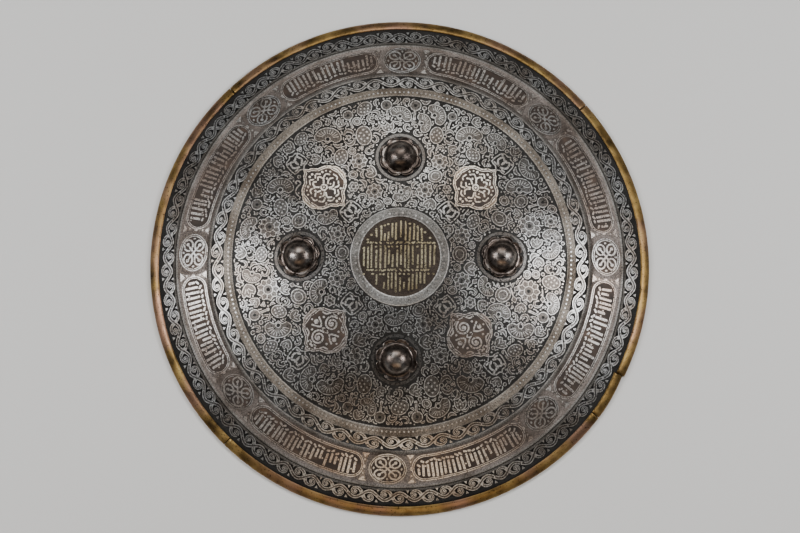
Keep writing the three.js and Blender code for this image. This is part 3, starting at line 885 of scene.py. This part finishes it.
dotted_ring("bowl_field_dots", 156.0, 244, 0.8)
dotted_ring("bowl_medallion_dots", 39.9, 42, 1.0)

# %% [markdown]
# ## Roundels and panels of the broad band
# Eight oval roundels hold a knot of four loops, and between them lie long panels with rounded ends.
# Writing filled the panels of such shields. Here they hold plain upright strokes, short dashes and
# dots in rows, drawn by a seeded rule. Each panel is as long as the gap between its two roundels.

# %% Roundels
BAND_MIDDLE = sum(PANEL_BAND) / 2
ROUNDEL_AZIMUTHS = (1.6, 45.0, 89.3, 131.5, 177.2, 218.8, 266.7, 313.0)
ROUNDEL = (17.2, 13.4)            # half its length round the band, half its height


def roundel():
    """A double frame round four overlapping loops, crossed strokes and small buds."""
    across, up = ROUNDEL
    layers = framed(oval(0, across, up, 40), 0.8, CUT)
    layers += framed(oval(0, across - 1.6, up - 1.6, 40), 0.7, CUT)
    corners = [complex(6.5 * sx, 5.0 * sy) for sx in (1, -1) for sy in (1, -1)]
    layers += [(oval(c, 5.7, 4.7, 20), OUTLINE) for c in corners]
    layers += [(oval(c, 4.3, 3.3, 16), CUT) for c in corners]
    for c in corners[:2]:
        layers.append((stroke(np.linspace(-0.75 * c, 0.75 * c, 5), 1.5), OUTLINE))
    for c in corners:
        layers.append((oval(1.12 * c, 1.5, sides=8), OUTLINE))
        layers.append((stroke(np.array([0.55 * c, 1.1 * c]), 1.1), OUTLINE))
    for tip in (complex(0, up - 4.2), complex(0, 4.2 - up), across - 4.5 + 0j, 4.5 - across + 0j):
        layers.append((oval(tip, 0.9, 1.2, 7), OUTLINE))
    return layers


round_places = [(complex(math.radians(a) * BAND_MIDDLE, BAND_MIDDLE), 0.0, 1.0, 0)
                for a in ROUNDEL_AZIMUTHS]
set_out("bowl_roundels", [raised("roundel", roundel())], round_places, burnished_steel_edge_highlight,
        BAND_MIDDLE, 0.5)

# %% One panel
PANEL_HALF_HEIGHT = 11.6
PANEL_GAP = 4.6                   # between a roundel and the panel's rounded end


def stadium(half_length, half_height, sides=12):
    """Two straight sides, in steps short enough to bend with the shield, and two round ends."""
    t = np.linspace(-math.pi / 2, math.pi / 2, sides)
    straight = half_length - half_height
    cap = straight + half_height * np.exp(1j * t)
    side = np.linspace(straight, -straight, max(3, round(straight / 2.2)))[1:-1] + 1j * half_height
    return np.concatenate([cap, side, -cap, -side])


def panel(half_length, draw):
    """A long frame with rows of plain marks: uprights above, slanting dashes and dots below."""
    h = PANEL_HALF_HEIGHT
    layers = framed(stadium(half_length, h), 0.8, CUT)
    layers += framed(stadium(half_length - 1.5, h - 1.5), 0.6, CUT)
    x = -half_length + 6.5
    while x < half_length - 6.0:
        room = h - 3.2 - max(0, abs(x) - half_length + h) * 0.55
        split = -room + draw.choice((4.6, 5.2, 6.0))
        lean = draw.uniform(-0.4, 0.4)
        top = room - draw.choice((0, 0, 0, 0.8, 4.4))
        layers.append((stroke(np.array([complex(x + lean, split), complex(x, top)]), 2.1), OUTLINE))
        slant = draw.choice((-1, 1)) * draw.uniform(0.2, 1.2)
        dash = np.array([complex(x - 1.3, split - 2.6 - slant), complex(x + 1.3, split - 2.6 + slant)])
        layers.append((stroke(dash, 1.7), OUTLINE))
        if draw.random() < 0.4:
            layers.append((oval(complex(x + 2.3, draw.uniform(split, top)), 0.8, sides=6), OUTLINE))
            x += 0.9
        x += draw.choice((3.7, 4.0, 4.4))
    return layers


print("a panel is", 2 * PANEL_HALF_HEIGHT, "mm high")

# %% Spandrels
def spandrels(draw):
    """Between a roundel and a panel: a bright dot, fine lines and small triangles."""
    layers = []
    wedge = np.array([-3.6 + 12.2j, 3.6 + 12.2j, 0.4 + 8.2j])
    for up in (1, -1):
        layers.append((up * wedge, OUTLINE))
        for side in (-1, 1):
            path = curve([(side * 2.4, up * 10.6), (side * 1.0, up * 7.0), (side * 0.6, up * 3.4)], 3)
            layers.append((stroke(path, 0.75), LEAF))
        layers.append((oval(complex(draw.uniform(-0.4, 0.4), up * 6.2), 0.8, sides=7), OUTLINE))
    layers.append((oval(0, 1.25, 1.6, 8), OUTLINE))
    return layers


print("a spandrel is", len(spandrels(random.Random(0))), "outlines")

# %% Panels round the band
draw = random.Random(21)
panels, panel_halves, panel_places, spandrel_places = [], [], [], []
for here, there in zip(ROUNDEL_AZIMUTHS, ROUNDEL_AZIMUTHS[1:] + (ROUNDEL_AZIMUTHS[0] + 360,)):
    half = math.radians(there - here) / 2 * BAND_MIDDLE - ROUNDEL[0] - PANEL_GAP
    middle = math.radians(here + there) / 2 * BAND_MIDDLE
    panel_places.append((complex(middle, BAND_MIDDLE), 0.0, 1.0, len(panels)))
    panels.append(raised("panel", panel(half, draw)))
    panel_halves.append(half)
    for side in (-1, 1):
        spandrel_places.append((complex(middle + side * (half + 0.4), BAND_MIDDLE), 0.0, 1.0, 0))
set_out("bowl_panels", panels, panel_places, browned_relief, BAND_MIDDLE, 0.6)
set_out("bowl_spandrels", [raised("spandrel", spandrels(draw))], spandrel_places, browned_relief,
        BAND_MIDDLE, 0.9)

# %% [markdown]
# ## Sunk grounds in brown
# The roundels and panels were let down a little deeper and took rust, so their ground is a dark
# brown against the pinkish grey of the band. A thin patch laid on the plate carries that colour,
# and the lozenges of the field get one too.

# %% Rust-brown steel
def rusted_finish():
    """Rust-brown etched steel: dull, gritty and dark, so the marks on it stand out."""
    material, tree = new_material("rust_brown_etched_steel")
    where = node(tree, "ShaderNodeTexCoord").outputs["Object"]
    blotch = node(tree, "ShaderNodeTexNoise", {"Vector": where, "Scale": 1 / (12 * MM), "Detail": 4.0})
    tone = node(tree, "ShaderNodeValToRGB", {"Fac": blotch.outputs["Fac"]},
                [(0.35, "#2f2823"), (0.55, "#40352d"), (0.72, "#57473b")])
    grit = node(tree, "ShaderNodeTexNoise", {"Vector": where, "Scale": 1 / (1.1 * MM), "Detail": 2.0})
    bump = node(tree, "ShaderNodeBump", {"Height": grit.outputs["Fac"], "Distance": 0.12 * MM,
                                         "Strength": 0.8})
    shader = node(tree, "ShaderNodeBsdfPrincipled", {"Base Color": tone.outputs[0], "Metallic": 0.6,
                                                     "Roughness": 0.6, "Normal": bump.outputs[0]})
    node(tree, "ShaderNodeOutputMaterial", {"Surface": shader.outputs[0]})
    return material


rust_ground = rusted_finish()
print("material", rust_ground.name, len(rust_ground.node_tree.nodes), "nodes")

# %% Brown grounds
GROUND_PATCH = {OUTLINE: -0.22, LEAF: -0.22, CUT: -0.95}
PATCH_MARGIN = 0.4


def knots(places):
    """Tiny outlines on a patch's own level: they give a flat patch points to bend at."""
    return [(oval(place, 0.3, sides=4), LEAF) for place in places]


grid = [complex(x, y) for x in (-11, -5.5, 0, 5.5, 11) for y in (-5, 0, 5)]
whole = oval(0, ROUNDEL[0] - PATCH_MARGIN, ROUNDEL[1] - PATCH_MARGIN, 40)
patches = [raised("patch", [(whole, LEAF)] + knots(grid), GROUND_PATCH)]
patch_places = list(round_places)
for (place, *_), half in zip(panel_places, panel_halves):
    grid = [complex(x, y) for x in np.arange(3 - half, half - 2, 5) for y in (-6, 0, 6)]
    whole = stadium(half - PATCH_MARGIN, PANEL_HALF_HEIGHT - PATCH_MARGIN)
    patch_places.append((place, 0.0, 1.0, len(patches)))
    patches.append(raised("patch", [(whole, LEAF)] + knots(grid), GROUND_PATCH))
set_out("bowl_brown_grounds", patches, patch_places, rust_ground, BAND_MIDDLE)

# %% [markdown]
# ## The lozenges
# Four cusped lozenges stand on the diagonals of the field, gilded and rust-brown, each packed with
# arabesque and flanked by two square palmettes on the same diagonal. The upper two keep more gold.
# They are drawn with up pointing away from the middle of the shield.

# %% One lozenge
def mirrored(shapes):
    """Every shape and its mirror image across the upright axis."""
    return [(placed, level) for outline, level in shapes for placed in (outline, -np.conj(outline))]


def lozenge_outline():
    half = [(0, 26.5), (2.8, 22.4), (5.2, 21.4), (9.0, 16.6), (12.4, 15.2), (15.6, 13.6),
            (18.9, 10.0), (19.6, 5.2), (20.8, 0)]
    right = [complex(x, y) for x, y in half] + [complex(x, -y) for x, y in half[-2::-1]]
    return np.array(right[::-1] + [complex(-z.real, z.imag) for z in right[1:-1]])


def lozenge(spirals):
    """A double frame with ears, filled with two spirals or with a rose and curls."""
    edge = lozenge_outline()
    layers = framed(edge, 1.0, CUT) + framed(inset(edge, 1.9), 0.7, CUT)
    ear = curve([(15.5, 11.5), (20.5, 5.5), (20.8, 0.0), (20.5, -5.5), (15.5, -11.5)], 3)
    layers += mirrored([(stroke(ear, belly(ear, 3.2)), OUTLINE), (stroke(ear, belly(ear, 1.6)), LEAF)])
    if spirals:
        for centre in (8.6j, -8.6j):
            path = centre + np.array([r * np.exp(1j * a) for r, a in
                                      zip(np.linspace(6.8, 1.6, 26), np.linspace(-1.6, 9.2, 26))])
            layers += [(stroke(path, 1.5), OUTLINE), (oval(centre, 1.6, sides=8), OUTLINE)]
        curls = (([(5, 0), (8, 2.6), (12.6, 4.6)], 1.5), ([(5, 0), (8, -2.6), (12.6, -4.6)], 1.5),
                 ([(7.6, 14.6), (9.8, 11.2), (13.6, 10.2)], 1.4),
                 ([(7.6, -14.6), (9.8, -11.2), (13.6, -10.2)], 1.4),
                 ([(1.4, 1.4), (3.2, 0), (1.4, -1.4)], 1.0))
        buds = ((11.5, 0, 2.2, 9), (1.0, 17.6, 1.2, 7), (9.4, 7.6, 1.1, 7), (9.4, -7.6, 1.1, 7),
                (15.6, 1.2, 0.9, 6), (4.2, 17.2, 1.0, 6), (2.2, -19.0, 1.0, 6), (1.2, 21.4, 0.8, 6))
        shapes = [stroke(curve(points, 3), width) for points, width in curls]
        shapes += [oval(complex(x, y), r, sides=sides) for x, y, r, sides in buds]
        shapes.append(stroke(curve([(1.0, 15.9), (4.0, 15.4)], 2), 0.9))
        shapes.append(stroke(curve([(1.2, -16.6), (5.2, -15.6)], 2), 0.9))
        return layers + mirrored([(shape, OUTLINE) for shape in shapes])
    layers += [(oval(0, 3.4, sides=12), OUTLINE), (oval(0, 2.1, sides=9), CUT),
               (oval(0, 1.0, sides=6), OUTLINE)]
    curls = (([(2.6, 3.0), (5.4, 6.6), (3.6, 10.6), (0.9, 8.8)], 1.7),
             ([(4.4, 0), (8.8, 2.0), (11.8, 0)], 1.6), ([(5.8, 6.2), (10.0, 7.6), (12.2, 4.4)], 1.5),
             ([(2.8, -3.2), (6.2, -5.2), (9.6, -3.2)], 1.5),
             ([(2.4, -4.4), (4.8, -8.4), (2.0, -11.6)], 1.7),
             ([(6.4, -7.2), (9.8, -8.8), (12.8, -5.4)], 1.5),
             ([(0.9, 12.0), (4.0, 14.2), (6.8, 11.0)], 1.5),
             ([(1.0, -13.8), (4.4, -14.0), (6.6, -11.0)], 1.5),
             ([(14.6, 2.2), (14.9, -2.0), (12.8, -3.4)], 1.3))
    buds = ((1.6, 16.6, 1.2), (1.6, -17.6, 1.2), (9.4, 11.2, 1.2), (7.8, 3.8, 1.0), (12.6, 9.6, 0.8),
            (9.4, -12.0, 1.1), (6.2, -2.0, 0.8), (14.6, 6.2, 0.9))
    shapes = [(stroke(curve(points, 3), 0.85 * width), OUTLINE) for points, width in curls]
    shapes += [(oval(complex(x, y), r, sides=7), OUTLINE) for x, y, r in buds]
    return layers + mirrored(shapes)


print("a lozenge is", len(lozenge(False)), "outlines, or", len(lozenge(True)), "with spirals")

# %% Lozenges and palmettes
LOZENGE_AZIMUTHS = (43.0, 136.7, 224.6, 312.0)
LOZENGE_RADIUS = 94.0
PALMETTE_RADII = (61.0, 129.0)
PALMETTE_SIZE = 1.22


def palmette():
    edge = curve([(-7.4, -5.5), (-7.2, 3.0), (-5.0, 6.2), (-1.6, 6.4), (0, 8.0), (1.6, 6.4),
                  (5.0, 6.2), (7.2, 3.0), (7.4, -5.5), (2.4, -6.2), (0, -8.0), (-2.4, -6.2)],
                 2, closed=True)
    layers = framed(edge, 0.8, CUT)
    shapes = [stroke(curve([(0.8, -4.0), (4.6, -1.0), (3.2, 3.4), (1.0, 2.2)], 3), 1.4),
              stroke(curve([(2.6, -4.4), (5.6, -4.2)], 3), 1.2), oval(4.9 + 4.0j, 0.9, sides=6)]
    return layers + mirrored([(s, OUTLINE) for s in shapes]) + [(oval(0.6j, 0.95, 3.2, 8), OUTLINE)]


def on_diagonals(radii, size=1.0):
    """Places at these plan radii on each diagonal, up pointing away from the middle."""
    places = []
    for azimuth in LOZENGE_AZIMUTHS:
        for radius in radii:
            away = complex(math.cos(math.radians(azimuth)), math.sin(math.radians(azimuth)))
            places.append((radius * away, math.radians(azimuth - 90), size, 0))
    return places


lozenges = on_diagonals([LOZENGE_RADIUS])
set_out("bowl_gilded_lozenges", [raised("lozenge", lozenge(False))], lozenges[:2], gilded_steel,
        unevenness=0.6)
set_out("bowl_brown_lozenges", [raised("lozenge", lozenge(True))], lozenges[2:], browned_relief,
        unevenness=0.6)
palmettes = on_diagonals(PALMETTE_RADII, PALMETTE_SIZE)
set_out("bowl_palmettes", [raised("palmette", palmette())], palmettes, burnished_steel_edge_highlight, unevenness=0.6)
grid = [complex(x, y) for x in (-14, -7, 0, 7, 14) for y in (-14, -7, 0, 7, 14)
        if abs(x) + abs(y) < 24]
whole = inset(lozenge_outline(), 0.5)
grounds = [raised("ground", [(whole, LEAF)] + knots(grid), GROUND_PATCH)]
set_out("bowl_lozenge_grounds", grounds, lozenges, rust_ground)

# %% [markdown]
# ## The flowers of the field
# The field is a garden: fans, horned flowers, rosettes, round flowers on stems, buds and leaves,
# each with a bright outline and a dark gap round it. Some two dozen motifs are drawn once. Every
# function below returns the pile of outlines for one of them, upright.

# %% Large flowers
def fan_flower():
    edge = curve([(-12.5, -1), (-11, 5), (-6.5, 9), (0, 10.5), (6.5, 9), (11, 5), (12.5, -1), (7.5, -4.4),
                  (3.6, -2.6), (0, -5.4), (-3.6, -2.6), (-7.5, -4.4)], 2, closed=True)
    layers = framed(edge)
    for a in np.radians(np.linspace(14, 166, 10)):
        tip = complex(10.2 * math.cos(a), 8.4 * math.sin(a))
        layers.append((stroke(np.linspace(0.48 * tip, tip, 3), 0.6), OUTLINE))
    return layers + framed(oval(-1j, 2.6, sides=10), 0.7, CUT)


def horned_flower():
    layers = []
    for side in (1, -1):
        horn = curve([(side * 1.2, -4.6), (side * 5.6, -6.6), (side * 7.0, -11.0), (side * 3.2, -14.2)], 3)
        layers.append((stroke(horn, belly(horn, 3.8, 0.4)), OUTLINE))
        layers.append((stroke(horn, belly(horn, 2.2, 0.3)), LEAF))
    layers += framed(oval(4j, 9.6, 7.4, 22))
    for x, y in ((-5.5, 4), (-3, 7), (-3, 1.2), (0, 4), (0, 9), (0, -0.6), (3, 7), (3, 1.2), (5.5, 4)):
        layers.append((oval(complex(x, y), 1.0, sides=6), OUTLINE))
    return layers + framed(oval(-4.8j, 2.2, sides=8), 0.7, CUT)


def rosette(radius, petals):
    t = np.arange(petals * 5) / (petals * 5) * 2 * math.pi
    edge = radius * (0.9 + 0.1 * np.cos(petals * t)) * np.exp(1j * t)
    layers = framed(edge)
    for k in range(petals):
        ray = np.exp(1j * math.pi * (2 * k + 1) / petals)
        layers.append((stroke(np.linspace(0.5 * radius, 0.86 * radius, 3) * ray, 0.6), OUTLINE))
    layers += framed(oval(0, radius * 0.46, sides=10), 0.7)
    return layers + [(oval(0, radius * 0.18, sides=6), CUT)]


def round_flower(radius, stem):
    layers = []
    if stem:
        layers = [(stroke(np.linspace(0, -1j * (radius + stem), 3), 2.0), OUTLINE),
                  (oval(-1j * (radius + stem), 1.6, sides=8), OUTLINE),
                  (stroke(np.linspace(0, -1j * (radius + stem - 0.6), 3), 0.7), LEAF)]
    return layers + framed(oval(0, radius, sides=16)) + [(oval(0, radius * 0.3, sides=7), CUT)]


def ringed_flower(radius):
    ring = framed(oval(0, radius, radius * 0.9, 18))
    return ring + framed(oval(0, radius * 0.6, radius * 0.54, 12), 0.6)


print("a fan is", len(fan_flower()), "outlines, a rosette of nine petals", len(rosette(10.5, 9)))

# %% Leaves and buds
def leaf(length, width, bend):
    path = curve([(0, 0), (length * bend * 0.5, length * 0.5), (0, length)], 4) - 0.5j * length
    return [(stroke(path, belly(path, width)), OUTLINE),
            (stroke(path[1:-1], belly(path[1:-1], width - 1.4)), LEAF)]


def split_leaf():
    long_side = curve([(-0.6, -5), (-3.2, -1), (-2.6, 3.2), (-4.8, 5.4)], 3)
    short_side = curve([(0.6, -5), (3.0, -2.2), (2.6, 1.6)], 3)
    return [(stroke(long_side, belly(long_side, 2.4, 0.35)), OUTLINE),
            (stroke(short_side, belly(short_side, 2.2, 0.35)), OUTLINE),
            (stroke(long_side, belly(long_side, 0.9, 0.3)), LEAF)]


def trefoil():
    cups = [1.7 * np.exp(1j * math.radians(a)) for a in (90, 210, 330)]
    outlines = [(oval(c, 1.7, sides=8), OUTLINE) for c in cups]
    return outlines + [(oval(c, 0.8, sides=6), LEAF) for c in cups]


def tendril():
    path = curve([(-7, -2), (-3, 1.8), (1.5, 1.2), (5.0, -1.6), (7.2, 0.6), (5.8, 2.6), (4.6, 1.6)], 3)
    return [(stroke(path, np.linspace(0.9, 1.3, len(path))), OUTLINE)]


def tulip():
    """A cup of speckled petals on two spread leaves."""
    cup = curve([(-5.2, 5.5), (-5.6, 0.5), (-2.4, -3.6), (2.4, -3.6), (5.6, 0.5), (5.2, 5.5),
                 (2.4, 3.0), (0, 6.4), (-2.4, 3.0)], 2, closed=True)
    layers = []
    for side in (1, -1):
        blade = curve([(side * 0.6, -3.2), (side * 4.2, -4.6), (side * 7.6, -1.6)], 4)
        layers.append((stroke(blade, belly(blade, 2.8, 0.35)), OUTLINE))
        layers.append((stroke(blade, belly(blade, 1.3, 0.3)), LEAF))
    layers += framed(cup)
    dots = (-2.6 + 0.6j, 1.6j, 2.6 + 0.6j, -1.6j)
    return layers + [(oval(dot, 0.8, sides=6), OUTLINE) for dot in dots]


def half_palmette():
    edge = curve([(-1.0, -6.0), (-5.4, -3.0), (-6.4, 2.0), (-3.4, 4.6), (-1.6, 2.6), (0.4, 5.8),
                  (2.8, 3.2), (5.4, 4.0), (5.6, -0.6), (2.4, -4.2)], 2, closed=True)
    layers = framed(edge)
    for tip in (-3.8 + 1.4j, 0.2 + 2.6j, 3.6 + 1.2j):
        layers.append((stroke(np.array([0.25 * tip - 2.4j, 0.6 * tip - 0.9j, tip]), 0.65), OUTLINE))
    return layers


def hooked_leaf():
    path = curve([(-3.4, -3.6), (-3.6, 1.2), (-0.4, 4.2), (3.0, 2.2), (2.2, -0.8)], 3)
    widths = np.interp(np.linspace(0, 1, len(path)), [0, 0.4, 1], [1.0, 3.0, 1.4])
    return [(stroke(path, widths), OUTLINE), (stroke(path[2:-2], widths[2:-2] * 0.5), LEAF)]


def diamond_bud():
    rhomb = np.array([0 - 3.2j, 2.6 + 0j, 3.2j, -2.6 + 0j]) + 3j
    return [(stroke(np.linspace(0, -7j, 3), 1.1), OUTLINE)] + framed(rhomb, 0.8)


print("a tulip is", len(tulip()), "outlines")

# %% The list of motifs
MOTIFS = [fan_flower(), horned_flower(), rosette(10.5, 9), rosette(8.0, 8), ringed_flower(7.5),
          round_flower(5.2, 8), round_flower(4.4, 0), rosette(5.6, 6), ringed_flower(4.6),
          round_flower(3.6, 5), split_leaf(),
          leaf(8.5, 3.4, 0.6), leaf(8.5, 3.4, -0.6), diamond_bud(), tendril(), trefoil(), leaf(5.5, 2.6, 0.5),
          round_flower(2.4, 0), [(stroke(curve([(-2, 0), (0, 0.7), (2, 0)], 3), 1.1), OUTLINE)],
          [(oval(0, 0.95, sides=6), OUTLINE)], tulip(), half_palmette(), hooked_leaf()]
print(len(MOTIFS), "motifs,", sum(len(o) for motif in MOTIFS for o, level in motif), "points")

# %% [markdown]
# ## Planting the field
# A chequered sheet of half-millimetre cells remembers what is taken. Large flowers are set from a list,
# much as the etcher spaced them, in all four quarters. Then motifs are thrown at free places from
# large to small, and each stays only where it fits with its dark gap. The draw is seeded, so the
# garden is the same every time.

# %% The sheet of cells
CELL = 0.5
REACH = 156.0                     # half the sheet's width
SIDE = int(2 * REACH / CELL)
ZONE_GAP = 0.9                    # left free inside the field's two edges
RING_GAP = 0.8                    # and round each boss's ring
PLAIN_RING = 22.6                 # radius of the smooth ring round each boss
middles = (np.arange(SIDE) + 0.5) * CELL - REACH
cells = middles[None, :] + 1j * middles[:, None]
taken = (np.abs(cells) > FIELD[1] - ZONE_GAP) | (np.abs(cells) < FIELD[0] + ZONE_GAP)
boss_centres = []
for name in LOBE_TURN:
    low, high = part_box(name)
    boss_centres.append(complex(low.x + high.x, low.y + high.y) / 2 / MM)
for centre in boss_centres:
    taken |= np.abs(cells - centre) < PLAIN_RING + RING_GAP
print(f"{(~taken).sum()} free cells of {CELL} mm")

# %% Footprints
def covered(outline, points):
    """Which of the points lie inside the outline, by counting the edges crossed to their right."""
    a, b = outline[:, None], np.roll(outline, -1)[:, None]
    spans = (a.imag > points.imag) != (b.imag > points.imag)
    with np.errstate(divide="ignore", invalid="ignore"):
        crossing = a.real + (points.imag - a.imag) * (b.real - a.real) / (b.imag - a.imag)
    return (spans & (points.real < crossing)).sum(axis=0) % 2 == 1


def footprint(layers, gap):
    """Sample points over a motif and, for the test, a ring of points one gap outside it."""
    grid = np.arange(-28, 28, 0.42)
    points = (grid[None, :] + 1j * grid[:, None]).ravel()
    inside = np.zeros(len(points), bool)
    for outline, level in layers:
        inside |= covered(outline, points)
    body = points[inside]
    halo = [inset(outline, side * gap) for outline, level in layers if level == OUTLINE for side in (-1, 1)]
    return body, np.concatenate([body] + halo)


def cell_of(points):
    """The row and column of the cell that each point lies in."""
    rows = np.clip(((points.imag + REACH) / CELL).astype(int), 0, SIDE - 1)
    columns = np.clip(((points.real + REACH) / CELL).astype(int), 0, SIDE - 1)
    return rows, columns


def claim(place, turn, size, prints, force=False):
    """Takes the cells under a motif and says yes, or no where one of its cells is taken already."""
    body, tested = prints
    spin = size * np.exp(1j * turn)
    if not force and taken[cell_of(place + tested * spin)].any():
        return False
    taken[cell_of(place + body * spin)] = True
    return True


edge = lozenge_outline()
for place, turn, size, kind in lozenges:
    body, tested = footprint([(inset(edge, -1.0), OUTLINE)], 0)
    taken[cell_of(place + body * np.exp(1j * turn))] = True
for place, turn, size, kind in palmettes:
    claim(place, turn, size * 1.06, footprint(palmette(), 0.4), force=True)
print(f"{(~taken).sum()} cells free round the lozenges and palmettes")

# %% Planting
GAP = 0.42                        # the dark gap round every motif
prints = [footprint(layers, GAP) for layers in MOTIFS]
draw = random.Random(5)
planted = []
# Large flowers: plan radius, angle within its quarter, turn from upright, motif.
SET_BY_HAND = [(121, 14, -20, 2), (125, 30, 60, 0), (128, 60, 35, 0), (119, 73, 100, 1), (140, 21, 0, 5),
               (140, 46, 0, 5), (141, 70, 0, 5), (143, 84, 0, 5), (60, 20, 30, 3), (64, 70, -30, 3),
               (96, 67, 150, 3), (98, 21, -150, 4), (121, 46, 90, 8), (75, 33, 200, 7), (76, 56, 160, 7),
               (121, 1, 0, 2), (53, 3, 0, 4)]
for quarter in range(4):
    for radius, angle, turn, kind in SET_BY_HAND:
        flipped = quarter in (1, 3)
        a = math.radians(quarter * 90 + (90 - angle if flipped else angle) + draw.uniform(-1.2, 1.2))
        place = (radius + draw.uniform(-1.2, 1.2)) * complex(math.cos(a), math.sin(a))
        lean = math.radians(-turn if flipped else turn) + a - math.pi / 2
        for size in (1.0, 0.93, 0.86, 0.78):
            if claim(place, lean, size, prints[kind]):
                planted.append((place, lean, size, kind))
                break
# From large to small: the motifs to draw from, how many throws, the least and the greatest size.
SOWINGS = [((0, 1, 1), 3000, 0.72, 0.95), ((3, 4, 20, 21, 20, 21), 5000, 0.8, 1.15),
           ((5, 8, 20, 21, 21, 22, 22), 9000, 0.8, 1.1),
           ((10, 11, 12, 13, 14, 22, 22), 30000, 0.85, 1.2),
           ((15, 16, 17, 11, 22, 10), 26000, 0.7, 1.0), ((17, 18, 16, 18, 16), 26000, 0.7, 1.0),
           ((19, 18), 22000, 0.7, 1.1)]
for kinds, throws, least, most in SOWINGS:
    free = cells[~taken]
    for _ in range(throws):
        place = complex(free[draw.randrange(len(free))])
        turn, size, kind = draw.uniform(0, FULL_TURN), draw.uniform(least, most), draw.choice(kinds)
        if claim(place, turn, size, prints[kind]):
            planted.append((place, turn, size, kind))
    print(len(planted), "planted,", f"{(~taken).sum() / (np.abs(cells) < FIELD[1]).sum():.2f} still free")

# %% Field
for quarter, name in enumerate(("north_east", "north_west", "south_west", "south_east")):
    here = [p for p in planted if int(np.angle(p[0]) % (2 * math.pi) // (math.pi / 2)) == quarter]
    drawn = [raised("motif", layers) for layers in MOTIFS]
    set_out("bowl_field_" + name, drawn, here, burnished_steel_edge_highlight, unevenness=0.7)

# %% The rings round the bosses
RING_WIDTH = 2.6
rings = [raised("ring", [(oval(0, PLAIN_RING, sides=72), LEAF), (oval(0, PLAIN_RING - 0.1, sides=72), LEAF),
                         (oval(0, PLAIN_RING - RING_WIDTH, sides=72), CUT)])]
set_out("bowl_boss_rings", rings, [(c, 0.0, 1.0, 0) for c in boss_centres], burnished_steel_edge_highlight)

# %% [markdown]
# ## The medallion
# Writing filled the middle of the real shield in gold on brown. Plain upright strokes, dashes and
# dots take its place, drawn by the same kind of rule as the panels, inside the ring.

# %% Medallion
def medallion(draw, radius=34.0):
    """Three rows of plain uprights inside the circle, with dashes and dots between the rows."""
    layers = []
    for low, high in ((14.5, 33), (-10.5, 10.5), (-33, -14.5)):
        x = -radius + 1.6
        while x < radius - 1.6:
            arc = math.sqrt(radius ** 2 - x ** 2) - 1.5
            top = min(high, arc) - draw.choice((0, 0.6, 2.0, 5.0, 9.0))
            base = max(low, -arc) + draw.choice((0, 0, 0.8, 3.0))
            if top - base > 4:
                layers.append((stroke(np.array([complex(x, base), complex(x + 0.3, top)]), 1.6), OUTLINE))
            if high - top > 4:
                layers.append((oval(complex(x, min(high, arc) - 1.6), 1.2, 0.9, 7), OUTLINE))
            for level in (12.4, -12.5):
                if abs(level) < arc and draw.random() < 0.6:
                    tilt = draw.uniform(-0.9, 0.9)
                    dash = np.array([complex(x - 0.9, level - tilt), complex(x + 0.9, level + tilt)])
                    layers.append((stroke(dash, 1.3), OUTLINE))
            x += draw.choice((3.2, 3.7, 4.4))
    return layers


marks = raised("medallion", medallion(random.Random(11)))
set_out("bowl_medallion", [marks], [(0j, 0.0, 1.0, 0)], faded_gilding, unevenness=1.4)
